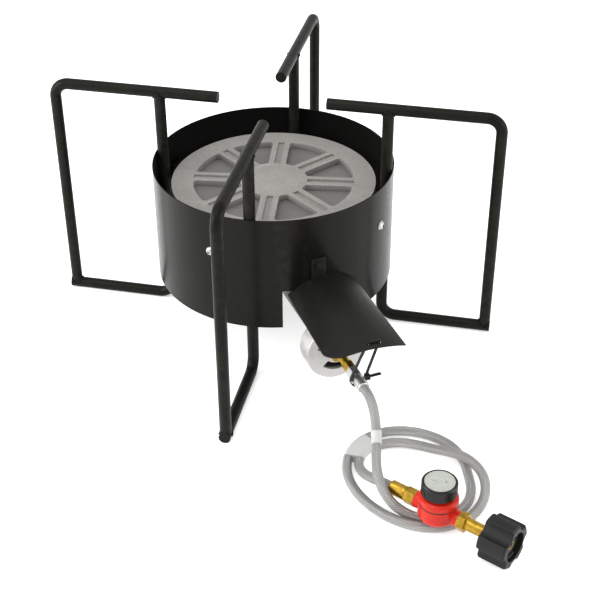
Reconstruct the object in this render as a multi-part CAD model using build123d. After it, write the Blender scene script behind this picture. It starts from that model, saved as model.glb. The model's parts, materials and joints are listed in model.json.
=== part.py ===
from build123d import *
import math
import os

# Outdoor gas cooker: a cast burner in a round windscreen, carried by four bent-rod legs that also
# hold the pot, with a venturi under a heat shield and a coiled gas hose that ends in a regulator.
# Millimetres, +Z up, origin on the floor on the windscreen's axis. Azimuth 0 is +X, 90 is +Y.

# Legs
ROD_D = 14.0
LEG_AZIMUTHS = {"right": 0.0, "back": 90.0, "left": 180.0, "front": 270.0}
LEG_SHIFT = 4.5
LEG_TOP_Z = 300.0
LEG_REACH = 275.0
POT_BAR_END_R = 66.0
ROD_BEND_R = 18.0
COPE_CLEARANCE = 0.05
WELD_GAP = 0.1

# Burner
BURNER_D = 254.0
BURNER_TOP_Z = 193.0
HEAD_THICKNESS = 14.0
HUB_D = 84.0
SPOKE_COUNT = 8
SPOKE_WIDTH = 22.0
SPOKE_AZIMUTH = 7.0
SPOKE_GROOVE_WIDTH = 8.0
SPOKE_GROOVE_DEPTH = 2.5
RING_WIDTH = 27.0
RECESS_DEPTH = 8.0
RECESS_CORNER_R = 4.0
PORT_COUNT = 72
PORT_WIDTH = 2.4
PORT_LENGTH = 3.0
PORT_HEIGHT = 3.0
PORT_BELOW_TOP = 5.0
CHAMBER_DEPTH = 3.0
RIM_OVERHANG = 14.0
BOWL_FLANGE_D = BURNER_D - 2 * RIM_OVERHANG
BOWL_FLANGE_WIDTH = 14.0
BOWL_FLANGE_THICKNESS = 7.0
BOWL_DEPTH = 39.0
CASTING_WALL = 6.0
BURNER_BOLT_D = 5.0
BURNER_BOLT_HEAD_D = 9.0
BURNER_BOLT_HEAD = 4.0
BURNER_BOLT_GRIP = 8.0
BURNER_BOLT_AZIMUTH = 28.0

# Windscreen
SCREEN_AIR_GAP = 22.0
SCREEN_D = BURNER_D + 2 * SCREEN_AIR_GAP
SCREEN_WALL = 1.5
SCREEN_BOTTOM_Z = 72.0
SCREEN_TOP_Z = 220.0
NOTCH_WIDTH = 86.0
NOTCH_TOP_Z = 124.0

# Burner brackets and their fasteners
BRACKET_AZIMUTH = -17.0
BRACKET_COUNT = 4
BRACKET_WIDTH = 20.0
BRACKET_THICKNESS = 3.0
BRACKET_DROP = 22.0
BRACKET_CLEARANCE = 1.0
BRACKET_LAP = RIM_OVERHANG - BRACKET_CLEARANCE
BOLT_D = 6.0
BOLT_HEAD_D = 11.5
BOLT_HEAD = 4.0
BOLT_NUT_AF = 10.0
BOLT_NUT = 5.0
BOLT_TAIL = 2.0
BRACKET_BOLT_DROP = 10.0
FOOT_SCREW_D = 5.0
FOOT_SCREW_HEAD_D = 9.0
FOOT_SCREW_HEAD = 3.5
FOOT_SCREW_GRIP = 8.0
HOLE_CLEARANCE = 0.3

# Venturi, air shutter and the brass on its axis
VENTURI_AZIMUTH = -56.5
VENTURI_Z = 72.0
VENTURI_TUBE_D = 30.0
BELL_D = 72.0
BELL_CONE_START = 160.0
BELL_LAND_START = 184.0
BELL_MOUTH = 208.0
BELL_PLATE = 3.0
SPIDER_HUB_D = 24.0
SPIDER_HUB_LENGTH = 10.0
WINDOW_COUNT = 3
WINDOW_SPAN = 60.0
WINDOW_TURN = -14.0
WINDOW_INNER_R = 17.0
WINDOW_OUTER_R = 26.0
SHUTTER_WALL = 1.6
SHUTTER_SIDE_GAP = 0.4
SHUTTER_FACE_GAP = 0.3
NIPPLE_D = 10.0
NIPPLE_BORE_D = 6.0
NIPPLE_INNER_END = 194.0
NIPPLE_OUTER_END = 240.0
RUNNING_CLEARANCE = 0.05
JET_HEAD_D = 10.0
JET_HEAD = 6.0
JET_SHANK = 6.0
JET_ORIFICE_D = 1.4
LOCK_NUT_AF = 22.0
LOCK_NUT = 6.0
ADAPTER_AF = 13.0
ADAPTER = 12.0
SWIVEL_NUT_AF = 14.0
SWIVEL_NUT = 16.0
FERRULE_D = 14.0
FERRULE = 19.0

# Heat shield
SHIELD_THICKNESS = 1.5
SHIELD_CROWN_Z = 139.0
SHIELD_PITCH = 9.3
SHIELD_OUTER_R = 277.5
SHIELD_SHIFT = 7.0
SHIELD_HALF_INNER = 44.0
SHIELD_HALF_OUTER = 47.5
SHIELD_RISE_INNER = 22.0
SHIELD_RISE_OUTER = 6.0
SHIELD_CORNER_R = 22.0
SHIELD_TAB_WIDTH = 18.0
SHIELD_TAB_HEIGHT = 26.0
SHIELD_SCREW_D = 4.0
SHIELD_SCREW_HEAD_D = 8.0
SHIELD_SCREW_HEAD = 2.5
SHIELD_SCREW_BELOW_TAB = 9.0
SHIELD_NUT_AF = 7.0
SHIELD_NUT = 3.2
CONTACT_GAP = 0.05

# Cable tie between the shield and the hose end
TIE_SETBACK = 9.0
TIE_R = SHIELD_OUTER_R - TIE_SETBACK
TIE_WIDTH = 4.0
TIE_STRAP = 1.2
TIE_SLOT_NEAR = 12.0
TIE_SLOT_FAR = 24.0
TIE_SLOT_WIDTH = 2.8
TIE_SLOT_OFFSET = 1.45
TIE_HEAD = 6.0
TIE_TAIL = 14.0

# Regulator
REG_X = 260.0
REG_Y = -366.0
REG_AZIMUTH = -25.0
PORT_Z = 24.1
REG_BODY_D = 43.0
REG_BODY_EDGE_R = 8.0
REG_BODY_BOTTOM_Z = 13.9
REG_BODY_TOP_Z = 35.8
REG_CHAMBER_D = 36.0
REG_CHAMBER_DEPTH = 5.0
REG_PASSAGE_D = 6.0
REG_SEAT_D = 4.0
REG_BOSS_D = 18.0
REG_BOSS_END = 27.0
DIAPHRAGM_THICKNESS = 1.2
DIAPHRAGM_SET_BACK = 0.5
DIAPHRAGM_PLATE_D = 28.0
DIAPHRAGM_PLATE = 2.0
VALVE_PIN_D = 2.4
VALVE_HEAD_D = 5.0
VALVE_HEAD = 2.0
VALVE_LIFT = 0.5
BONNET_FLANGE = 6.0
BONNET_SHOULDER_D = 36.0
BONNET_SHOULDER = 2.4
BONNET_NECK_D = 29.0
BONNET_NECK_TOP_Z = 55.8
BONNET_CEILING = 5.0
SPRING_CHAMBER_D = 22.0
SPRING_D = 15.0
SPRING_WIRE_D = 1.2
SPRING_TURNS = 4
BUTTON = 2.5
BUTTON_CLEARANCE = 0.3
SCREW_D = 10.0
SCREW_TRAVEL = 3.0
KNOB_CLEARANCE = 0.9
KNOB_D = 38.5
KNOB_TOP_Z = 63.8
KNOB_WALL = 2.2
KNOB_CROWN = 3.0
KNOB_CHAMFER = 1.2
KNOB_RIDGES = 36
KNOB_RIDGE_WIDTH = 1.6
KNOB_RIDGE_DEPTH = 0.6
FACE_D = 32.5
FACE_THICKNESS = 1.0

# Regulator inlet and hand nut
INLET_HEX_AF = 19.0
INLET_HEX = 9.0
INLET_TUBE_D = 14.0
INLET_BORE_D = 6.0
INLET_COLLAR_D = 21.0
INLET_COLLAR = 3.0
INLET_NOSE_D = 11.0
INLET_END = 88.0
SEAL_D = 16.0
SEAL_LENGTH = 7.0
HAND_NUT_BACK = 60.0
HAND_NUT_FRONT = 93.0
HAND_NUT_D = 51.0
HAND_NUT_LOBES = 5
HAND_NUT_VALLEY_D = 20.0
HAND_NUT_VALLEY_R = 29.0
HAND_NUT_BACK_WALL = 4.0
HAND_NUT_SOCKET_D = 33.0
COLLAR_GAP = 0.3
OUTLET_NUT_AF = 17.0
OUTLET_NUT = 12.0
OUTLET_FERRULE_D = 16.0
OUTLET_FERRULE = 20.0

# Hose
HOSE_D = 11.0
HOSE_LIFT = 0.6
COIL_X = 228.0
COIL_Y = -300.5
COIL_OUTER_R = 77.5
COIL_STRAND_STEP = 13.2
COIL_BACK_SPREAD = 11.0
COIL_BACK_AZIMUTH = 72.0
COIL_OVAL = 8.0
COIL_OVAL_AZIMUTH = -40.0
COIL_START = -74.0
COIL_END = 498.0
COIL_CROSSING = 30.0
COIL_SWAP_SPAN = 70.0
COIL_HUMP = 13.0
COIL_HUMP_SPAN = 140.0
COIL_STEP = 22.0
LEAD_POINTS = [
    (171.0, -258.6, 66.8),
    (176.0, -268.6, 57.2),
    (178.5, -275.0, 46.5),
    (181.0, -285.0, 37.8),
    (183.2, -299.0, 34.2),
    (186.0, -317.5, 35.2),
    (190.0, -337.0, 36.3),
    (197.0, -352.5, 30.2),
    (208.0, -361.0, 19.4),
    (221.0, -363.4, 9.9),
]
TAIL_POINTS = [
    (162.6, -272.5, 6.12),
    (160.6, -284.5, 6.35),
    (163.2, -296.5, 7.2),
    (169.2, -307.5, 9.4),
    (177.0, -317.0, 13.6),
    (185.4, -326.6, 18.9),
]
LEAD_OUT = 10.0
LEAD_IN = 9.0
TAIL_STUB = 11.0
BAND_THICKNESS = 0.4
BAND_GAP = 0.1
LEAD_BAND_FROM = 0.30
LEAD_BAND_TO = 0.37
COIL_BAND_LENGTH = 5.5
COIL_BAND_GAP = 0.2
COIL_BAND_ANGLE = 162.5
TAIL_BAND_AT = 0.25

rod_r = ROD_D / 2
screen_r = SCREEN_D / 2
screen_inner_r = screen_r - SCREEN_WALL
head_bottom_z = BURNER_TOP_Z - HEAD_THICKNESS
hose_r = HOSE_D / 2
coil_z = hose_r + HOSE_LIFT


def polar(azimuth, radius, z=0.0):
    angle = math.radians(azimuth)
    return Vector(radius * math.cos(angle), radius * math.sin(angle), z)


def rod_x(diameter, start, end, z=0.0):
    """A round bar along X."""
    return Pos((start + end) / 2, 0, z) * Rot(0, 90, 0) * Cylinder(diameter / 2, end - start)


def rod_z(diameter, bottom, top):
    """A round bar along Z on the origin's axis."""
    return Pos(0, 0, (bottom + top) / 2) * Cylinder(diameter / 2, top - bottom)


def hex_x(across_flats, start, end, z=0.0):
    """A hexagonal bar along X."""
    corner_r = across_flats / 2 / math.cos(math.radians(30))
    section = Plane.YZ * RegularPolygon(corner_r, 6)
    return Pos(start, 0, z) * extrude(section, end - start)


def hex_z(across_flats, bottom, top):
    """A hexagonal bar along Z on the origin's axis."""
    corner_r = across_flats / 2 / math.cos(math.radians(30))
    return Pos(0, 0, bottom) * extrude(RegularPolygon(corner_r, 6), top - bottom)


def turned(points):
    """A solid of revolution about Z from (radius, z) points."""
    outline = make_face(Plane.XZ * Polyline(*points, close=True))
    return revolve(outline, Axis.Z)


def turned_x(points):
    """A solid of revolution about X from (x, radius) points."""
    outline = make_face(Plane.XZ * Polyline(*points, close=True))
    return revolve(outline, Axis.X)


def tube_along(path, diameter):
    start = Plane(origin=path @ 0, z_dir=path % 0)
    return sweep(start * Circle(diameter / 2), path=path)


def common(first, second):
    """The one solid that two shapes share."""
    return (Part() + (first & second)).solid()


def solids_of(shape):
    if isinstance(shape, list):
        return [solid for item in shape for solid in solids_of(item)]
    return list(shape.solids())


def save(name, shape):
    solids = solids_of(shape)
    item = solids[0] if len(solids) == 1 else Compound(solids)
    export_step(item, f"parts/{name}.step")


# Legs

def leg_bars():
    """The two bent rods of the leg at azimuth 0: pot bar with outer upright, and foot bar with inner upright."""
    upright_gap = screen_inner_r - rod_r - WELD_GAP
    inner_r = math.sqrt(upright_gap**2 - LEG_SHIFT**2)
    top = LEG_TOP_Z
    foot = rod_r
    end = LEG_REACH + rod_r
    upper_path = FilletPolyline(
        (POT_BAR_END_R, LEG_SHIFT, top),
        (LEG_REACH, LEG_SHIFT, top),
        (LEG_REACH, LEG_SHIFT, foot),
        radius=ROD_BEND_R,
    )
    lower_path = FilletPolyline(
        (end, LEG_SHIFT, foot),
        (inner_r, LEG_SHIFT, foot),
        (inner_r, LEG_SHIFT, top),
        radius=ROD_BEND_R,
    )
    cope_d = ROD_D + 2 * COPE_CLEARANCE
    foot_cope = Pos(0, LEG_SHIFT, 0) * rod_x(cope_d, inner_r + ROD_BEND_R, end + rod_r, foot)
    top_cope = Pos(0, LEG_SHIFT, 0) * rod_x(cope_d, POT_BAR_END_R, LEG_REACH - ROD_BEND_R, top)
    upper = tube_along(upper_path, ROD_D) - foot_cope
    lower = tube_along(lower_path, ROD_D) - top_cope
    return upper, lower


# Windscreen and burner brackets

bracket_azimuths = [BRACKET_AZIMUTH + 360 / BRACKET_COUNT * k for k in range(BRACKET_COUNT)]
bracket_bolt_z = head_bottom_z - BRACKET_BOLT_DROP
shield_tab_top_z = SHIELD_CROWN_Z + SHIELD_TAB_HEIGHT
shield_screw_z = shield_tab_top_z - SHIELD_SCREW_BELOW_TAB


def windscreen():
    ring = rod_z(SCREEN_D, SCREEN_BOTTOM_Z, SCREEN_TOP_Z)
    ring -= rod_z(2 * screen_inner_r, SCREEN_BOTTOM_Z, SCREEN_TOP_Z)
    notch_height = NOTCH_TOP_Z - SCREEN_BOTTOM_Z
    notch = Pos(screen_r, 0, NOTCH_TOP_Z - notch_height) * Box(screen_r, NOTCH_WIDTH, 2 * notch_height)
    ring -= Rot(0, 0, VENTURI_AZIMUTH) * notch
    for azimuth in bracket_azimuths:
        hole = rod_x(BOLT_D + 2 * HOLE_CLEARANCE, screen_r / 2, screen_r + BOLT_HEAD, bracket_bolt_z)
        ring -= Rot(0, 0, azimuth) * hole
    screw_hole = rod_x(SHIELD_SCREW_D + 2 * HOLE_CLEARANCE, screen_r / 2, screen_r + BOLT_HEAD, shield_screw_z)
    ring -= Rot(0, 0, VENTURI_AZIMUTH) * screw_hole
    return ring


foot_inner_r = BURNER_D / 2 - BRACKET_LAP
foot_screw_r = BURNER_D / 2 - BRACKET_LAP / 2
bracket_outer_r = screen_inner_r - CONTACT_GAP


def burner_bracket():
    """An angle bracket at azimuth 0: its foot carries the burner's rim, its tab hangs on the windscreen."""
    foot_z = head_bottom_z - BRACKET_THICKNESS
    reach = bracket_outer_r - foot_inner_r
    foot = Pos(foot_inner_r + reach / 2, 0, foot_z + BRACKET_THICKNESS / 2)
    foot = foot * Box(reach, BRACKET_WIDTH, BRACKET_THICKNESS)
    tab_bottom = head_bottom_z - BRACKET_DROP
    tab = rod_z(2 * bracket_outer_r, tab_bottom, head_bottom_z)
    tab -= rod_z(2 * (bracket_outer_r - BRACKET_THICKNESS), tab_bottom, head_bottom_z)
    tab = common(tab, Pos(screen_r, 0, bracket_bolt_z) * Box(screen_r, BRACKET_WIDTH, 2 * BRACKET_DROP))
    bracket = common(foot, rod_z(2 * bracket_outer_r, foot_z, head_bottom_z)) + tab
    bracket -= rod_x(BOLT_D + 2 * HOLE_CLEARANCE, foot_inner_r, screen_r, bracket_bolt_z)
    screw_hole = rod_z(FOOT_SCREW_D + 2 * HOLE_CLEARANCE, foot_z - 1, head_bottom_z + 1)
    return bracket - Pos(foot_screw_r, 0, 0) * screw_hole


def screen_bolt():
    """A round-headed bolt at azimuth 0, head outside the windscreen."""
    nut_face_r = bracket_outer_r - BRACKET_THICKNESS
    end_r = nut_face_r - BOLT_NUT - BOLT_TAIL
    under_head = screen_r + CONTACT_GAP
    shank = rod_x(BOLT_D, end_r, under_head, bracket_bolt_z)
    dome_r = (BOLT_HEAD**2 + (BOLT_HEAD_D / 2) ** 2) / (2 * BOLT_HEAD)
    half = (
        Line((0, 0), (0, BOLT_HEAD_D / 2))
        + RadiusArc((0, BOLT_HEAD_D / 2), (BOLT_HEAD, 0), dome_r)
        + Line((BOLT_HEAD, 0), (0, 0))
    )
    dome = revolve(make_face(Plane.XZ * half), Axis.X)
    return shank + Pos(under_head, 0, bracket_bolt_z) * dome


def screen_nut():
    nut_face_r = bracket_outer_r - BRACKET_THICKNESS - CONTACT_GAP
    nut = hex_x(BOLT_NUT_AF, nut_face_r - BOLT_NUT, nut_face_r, bracket_bolt_z)
    bore = rod_x(BOLT_D + 2 * CONTACT_GAP, nut_face_r - 2 * BOLT_NUT, screen_r, bracket_bolt_z)
    inner_wall = rod_z(2 * nut_face_r, 0, SCREEN_TOP_Z)
    return common(nut, inner_wall) - bore


def foot_screw():
    """The screw at azimuth 0 that holds the burner's rim down on a bracket's foot."""
    foot_z = head_bottom_z - BRACKET_THICKNESS
    screw = rod_z(FOOT_SCREW_D, foot_z, head_bottom_z + FOOT_SCREW_GRIP)
    screw += rod_z(FOOT_SCREW_HEAD_D, foot_z - FOOT_SCREW_HEAD, foot_z)
    return Pos(foot_screw_r, 0, 0) * screw


# Burner

spoke_azimuths = [SPOKE_AZIMUTH + 360 / SPOKE_COUNT * k for k in range(SPOKE_COUNT)]
burner_bolt_azimuths = [BURNER_BOLT_AZIMUTH + 90 * k for k in range(4)]
burner_bolt_r = BOWL_FLANGE_D / 2 - BOWL_FLANGE_WIDTH / 2
ring_inner_r = BURNER_D / 2 - RING_WIDTH


def burner_head():
    head = rod_z(BURNER_D, head_bottom_z, BURNER_TOP_Z)
    floor_z = BURNER_TOP_Z - RECESS_DEPTH
    recess = rod_z(2 * ring_inner_r, floor_z, BURNER_TOP_Z) - rod_z(HUB_D, floor_z, BURNER_TOP_Z)
    groove_length = ring_inner_r - HUB_D / 2
    groove_x = HUB_D / 2 + groove_length / 2
    for azimuth in spoke_azimuths:
        spoke_length = groove_length + 2 * RECESS_CORNER_R
        spoke = Pos(groove_x, 0, BURNER_TOP_Z) * Box(spoke_length, SPOKE_WIDTH, 2 * HEAD_THICKNESS)
        recess -= Rot(0, 0, azimuth) * spoke
    head -= fillet(recess.edges().filter_by(Axis.Z), RECESS_CORNER_R)
    for azimuth in spoke_azimuths:
        groove = Pos(groove_x, 0, BURNER_TOP_Z) * Box(groove_length, SPOKE_GROOVE_WIDTH, 2 * SPOKE_GROOVE_DEPTH)
        head -= Rot(0, 0, azimuth) * groove
    port_z = BURNER_TOP_Z - PORT_BELOW_TOP
    port = Pos(BURNER_D / 2, 0, port_z) * Box(2 * PORT_LENGTH, PORT_WIDTH, PORT_HEIGHT)
    head -= [Rot(0, 0, 360 / PORT_COUNT * k) * port for k in range(PORT_COUNT)]
    chamber_r = BOWL_FLANGE_D / 2 - BOWL_FLANGE_WIDTH
    head -= rod_z(2 * chamber_r, head_bottom_z, head_bottom_z + CHAMBER_DEPTH)
    bolt_hole = rod_z(BURNER_BOLT_D + 2 * CONTACT_GAP, head_bottom_z, head_bottom_z + BURNER_BOLT_GRIP + 1)
    for azimuth in burner_bolt_azimuths:
        head -= Rot(0, 0, azimuth) * Pos(burner_bolt_r, 0, 0) * bolt_hole
    screw_hole = rod_z(FOOT_SCREW_D + 2 * CONTACT_GAP, head_bottom_z, head_bottom_z + FOOT_SCREW_GRIP + 1)
    for azimuth in bracket_azimuths:
        head -= Rot(0, 0, azimuth) * Pos(foot_screw_r, 0, 0) * screw_hole
    return head


def burner_base():
    """Bowl, elbow and venturi in one casting, with the bell mouth's windowed end plate."""
    tube_r = VENTURI_TUBE_D / 2
    bore_r = tube_r - CASTING_WALL
    flange_r = BOWL_FLANGE_D / 2
    flange_bottom_z = head_bottom_z - BOWL_FLANGE_THICKNESS
    throat_z = head_bottom_z - BOWL_DEPTH
    bend_r = throat_z - VENTURI_Z
    cone_z = throat_z + BOWL_DEPTH / 2
    bowl = turned([
        (0, throat_z),
        (tube_r, throat_z),
        (tube_r + CASTING_WALL, cone_z),
        (flange_r - BOWL_FLANGE_WIDTH, flange_bottom_z),
        (flange_r, flange_bottom_z),
        (flange_r, head_bottom_z),
        (0, head_bottom_z),
    ])
    hollow = turned([
        (0, throat_z),
        (bore_r, throat_z),
        (tube_r, cone_z + CASTING_WALL / 2),
        (flange_r - BOWL_FLANGE_WIDTH, flange_bottom_z + CASTING_WALL / 2),
        (flange_r - BOWL_FLANGE_WIDTH, head_bottom_z),
        (0, head_bottom_z),
    ])
    elbow_path = Wire([
        TangentArc((0, 0, throat_z), (bend_r, 0, VENTURI_Z), tangent=(0, 0, -1)),
        Line((bend_r, 0, VENTURI_Z), (BELL_CONE_START, 0, VENTURI_Z)),
    ])
    pipe = tube_along(elbow_path, VENTURI_TUBE_D)
    bore = tube_along(elbow_path, 2 * bore_r)
    bell_r = BELL_D / 2
    inner_bell_r = bell_r - CASTING_WALL / 2
    horn = turned_x([
        (BELL_CONE_START, 0),
        (BELL_CONE_START, tube_r),
        (BELL_LAND_START, bell_r),
        (BELL_MOUTH, bell_r),
        (BELL_MOUTH, 0),
    ])
    horn_bore = turned_x([
        (BELL_CONE_START, 0),
        (BELL_CONE_START, bore_r),
        (BELL_LAND_START, inner_bell_r),
        (BELL_MOUTH - BELL_PLATE, inner_bell_r),
        (BELL_MOUTH - BELL_PLATE, 0),
    ])
    horn_bore -= rod_x(SPIDER_HUB_D, BELL_MOUTH - SPIDER_HUB_LENGTH, BELL_MOUTH)
    horn_bore += rod_x(NIPPLE_D + 2 * CONTACT_GAP, BELL_LAND_START, BELL_MOUTH)
    lift = Pos(0, 0, VENTURI_Z)
    base = bowl + Rot(0, 0, VENTURI_AZIMUTH) * (pipe + lift * horn)
    base -= hollow
    base -= Rot(0, 0, VENTURI_AZIMUTH) * (bore + lift * horn_bore)
    plate = (BELL_MOUTH - BELL_PLATE, BELL_MOUTH)
    base -= [Rot(0, 0, VENTURI_AZIMUTH) * lift * window for window in air_windows(*plate)]
    bolt_hole = rod_z(BURNER_BOLT_D + 2 * HOLE_CLEARANCE, flange_bottom_z - 1, head_bottom_z + 1)
    for azimuth in burner_bolt_azimuths:
        base -= Rot(0, 0, azimuth) * Pos(burner_bolt_r, 0, 0) * bolt_hole
    return base


def air_windows(start, end):
    """Arc-shaped windows through a plate square to X, the first nearly straight below the axis."""
    ring = rod_x(2 * WINDOW_OUTER_R, start, end) - rod_x(2 * WINDOW_INNER_R, start, end)
    half = math.radians(WINDOW_SPAN / 2)
    reach = 2 * WINDOW_OUTER_R
    corners = [(0, 0), (-reach * math.sin(half), -reach * math.cos(half)),
               (reach * math.sin(half), -reach * math.cos(half))]
    wedge = Pos(start, 0, 0) * extrude(make_face(Plane.YZ * Polyline(*corners, close=True)), end - start)
    window = common(ring, wedge)
    return [Rot(WINDOW_TURN + 360 / WINDOW_COUNT * k, 0, 0) * window for k in range(WINDOW_COUNT)]


def burner_bolt():
    flange_bottom_z = head_bottom_z - BOWL_FLANGE_THICKNESS
    bolt = rod_z(BURNER_BOLT_D, flange_bottom_z, head_bottom_z + BURNER_BOLT_GRIP)
    bolt += hex_z(BURNER_BOLT_HEAD_D, flange_bottom_z - BURNER_BOLT_HEAD, flange_bottom_z)
    return Pos(burner_bolt_r, 0, 0) * bolt


# Pieces on the venturi's axis, along X before they are turned to its azimuth

shutter_face = BELL_MOUTH + SHUTTER_FACE_GAP
shutter_front = shutter_face + SHUTTER_WALL
lock_nut_start = shutter_front + SHUTTER_FACE_GAP
adapter_end = NIPPLE_OUTER_END + ADAPTER
swivel_end = adapter_end + SWIVEL_NUT
lead_start_r = swivel_end + FERRULE


def on_venturi(shape):
    return Rot(0, 0, VENTURI_AZIMUTH) * Pos(0, 0, VENTURI_Z) * shape


def air_shutter():
    outer_d = BELL_D + 2 * SHUTTER_SIDE_GAP + 2 * SHUTTER_WALL
    cup = rod_x(outer_d, BELL_LAND_START + SHUTTER_WALL, shutter_front)
    cup -= rod_x(BELL_D + 2 * SHUTTER_SIDE_GAP, BELL_LAND_START, shutter_face)
    cup -= rod_x(NIPPLE_D + 2 * RUNNING_CLEARANCE, BELL_LAND_START, shutter_front)
    return cup - air_windows(shutter_face, shutter_front)


def orifice_nipple():
    nipple = rod_x(NIPPLE_D, NIPPLE_INNER_END, NIPPLE_OUTER_END)
    return nipple - rod_x(NIPPLE_BORE_D, NIPPLE_INNER_END, NIPPLE_OUTER_END)


def gas_jet():
    jet = rod_x(JET_HEAD_D, NIPPLE_INNER_END - JET_HEAD, NIPPLE_INNER_END)
    jet += rod_x(NIPPLE_BORE_D - 2 * CONTACT_GAP, NIPPLE_INNER_END, NIPPLE_INNER_END + JET_SHANK)
    return jet - rod_x(JET_ORIFICE_D, NIPPLE_INNER_END - JET_HEAD, NIPPLE_INNER_END + JET_SHANK)


def lock_nut():
    nut = hex_x(LOCK_NUT_AF, lock_nut_start, lock_nut_start + LOCK_NUT)
    return nut - rod_x(NIPPLE_D + 2 * CONTACT_GAP, lock_nut_start, lock_nut_start + LOCK_NUT)


def hose_adapter():
    adapter = hex_x(ADAPTER_AF, NIPPLE_OUTER_END, adapter_end)
    return adapter - rod_x(NIPPLE_BORE_D, NIPPLE_OUTER_END, adapter_end)


def swivel_nut():
    nut = hex_x(SWIVEL_NUT_AF, adapter_end, swivel_end)
    return nut - rod_x(NIPPLE_BORE_D, adapter_end, swivel_end)


def lead_ferrule():
    ferrule = rod_x(FERRULE_D, swivel_end, lead_start_r)
    ferrule = chamfer(ferrule.edges().filter_by(GeomType.CIRCLE), 1)
    return ferrule - rod_x(NIPPLE_BORE_D, swivel_end, lead_start_r)


# Heat shield, along X before it is turned to the venturi's azimuth

shield_start_r = screen_inner_r - 2 * SHIELD_THICKNESS - SHIELD_HALF_INNER**2 / (2 * screen_r)
shield_drop = math.tan(math.radians(SHIELD_PITCH))


def shield_crown(radius):
    return SHIELD_CROWN_Z - (radius - screen_r) * shield_drop


def shield_share(radius):
    return (radius - shield_start_r) / (SHIELD_OUTER_R - shield_start_r)


def shield_top(radius, lateral):
    """Height of the shield's upper face, which is straight from end to end and arched across."""
    share = shield_share(radius)
    half = SHIELD_HALF_INNER + (SHIELD_HALF_OUTER - SHIELD_HALF_INNER) * share
    rise = SHIELD_RISE_INNER + (SHIELD_RISE_OUTER - SHIELD_RISE_INNER) * share
    return shield_crown(radius) - rise * ((lateral - SHIELD_SHIFT) / half) ** 2


def shield_section(radius, half, rise):
    crown = shield_crown(radius)
    edge = crown - rise
    under = edge - SHIELD_THICKNESS
    middle = SHIELD_SHIFT
    left = middle - half
    right = middle + half
    return Wire([
        ThreePointArc((radius, left, edge), (radius, middle, crown), (radius, right, edge)),
        Line((radius, right, edge), (radius, right, under)),
        ThreePointArc((radius, right, under), (radius, middle, crown - SHIELD_THICKNESS), (radius, left, under)),
        Line((radius, left, under), (radius, left, edge)),
    ])


def heat_shield():
    sheet = Part() + Solid.make_loft([
        shield_section(shield_start_r, SHIELD_HALF_INNER, SHIELD_RISE_INNER),
        shield_section(SHIELD_OUTER_R, SHIELD_HALF_OUTER, SHIELD_RISE_OUTER),
    ], ruled=True)
    corner_size = 2 * SHIELD_CORNER_R
    corner = Pos(SHIELD_CORNER_R, -SHIELD_CORNER_R, 0) * Box(corner_size, corner_size, SHIELD_CROWN_Z)
    corner -= Cylinder(SHIELD_CORNER_R, 2 * SHIELD_CROWN_Z)
    corner_y = SHIELD_SHIFT - SHIELD_HALF_OUTER + SHIELD_CORNER_R
    sheet -= Pos(SHIELD_OUTER_R - SHIELD_CORNER_R, corner_y, shield_crown(SHIELD_OUTER_R)) * corner
    tab_bottom = SHIELD_CROWN_Z - SHIELD_THICKNESS
    wall_d = SCREEN_D + 2 * CONTACT_GAP
    tab = rod_z(wall_d + 2 * SHIELD_THICKNESS, tab_bottom, shield_tab_top_z)
    tab = common(tab, Pos(screen_r, 0, shield_screw_z) * Box(screen_r, SHIELD_TAB_WIDTH, 4 * SHIELD_TAB_HEIGHT))
    sheet += tab
    sheet -= rod_z(wall_d, 0, LEG_TOP_Z)
    sheet -= rod_x(SHIELD_SCREW_D + 2 * HOLE_CLEARANCE, shield_start_r, SHIELD_OUTER_R, shield_screw_z)
    for lateral in (TIE_SLOT_NEAR - TIE_SLOT_OFFSET, TIE_SLOT_FAR + TIE_SLOT_OFFSET):
        slot = Box(TIE_WIDTH + 4 * HOLE_CLEARANCE, TIE_SLOT_WIDTH, 8 * SHIELD_THICKNESS)
        sheet -= Pos(TIE_R, lateral, shield_top(TIE_R, lateral)) * slot
    return Rot(0, 0, VENTURI_AZIMUTH) * sheet


def shield_screw():
    wall = screen_r + 2 * CONTACT_GAP + SHIELD_THICKNESS
    end = screen_inner_r - SHIELD_NUT - BOLT_TAIL
    screw = rod_x(SHIELD_SCREW_D, end, wall, shield_screw_z)
    screw += rod_x(SHIELD_SCREW_HEAD_D, wall, wall + SHIELD_SCREW_HEAD, shield_screw_z)
    return Rot(0, 0, VENTURI_AZIMUTH) * screw


def shield_nut():
    face = screen_inner_r - CONTACT_GAP
    nut = common(hex_x(SHIELD_NUT_AF, face - SHIELD_NUT, face, shield_screw_z), rod_z(2 * face, 0, SCREEN_TOP_Z))
    nut -= rod_x(SHIELD_SCREW_D + 2 * CONTACT_GAP, 0, screen_r, shield_screw_z)
    return Rot(0, 0, VENTURI_AZIMUTH) * nut


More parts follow.
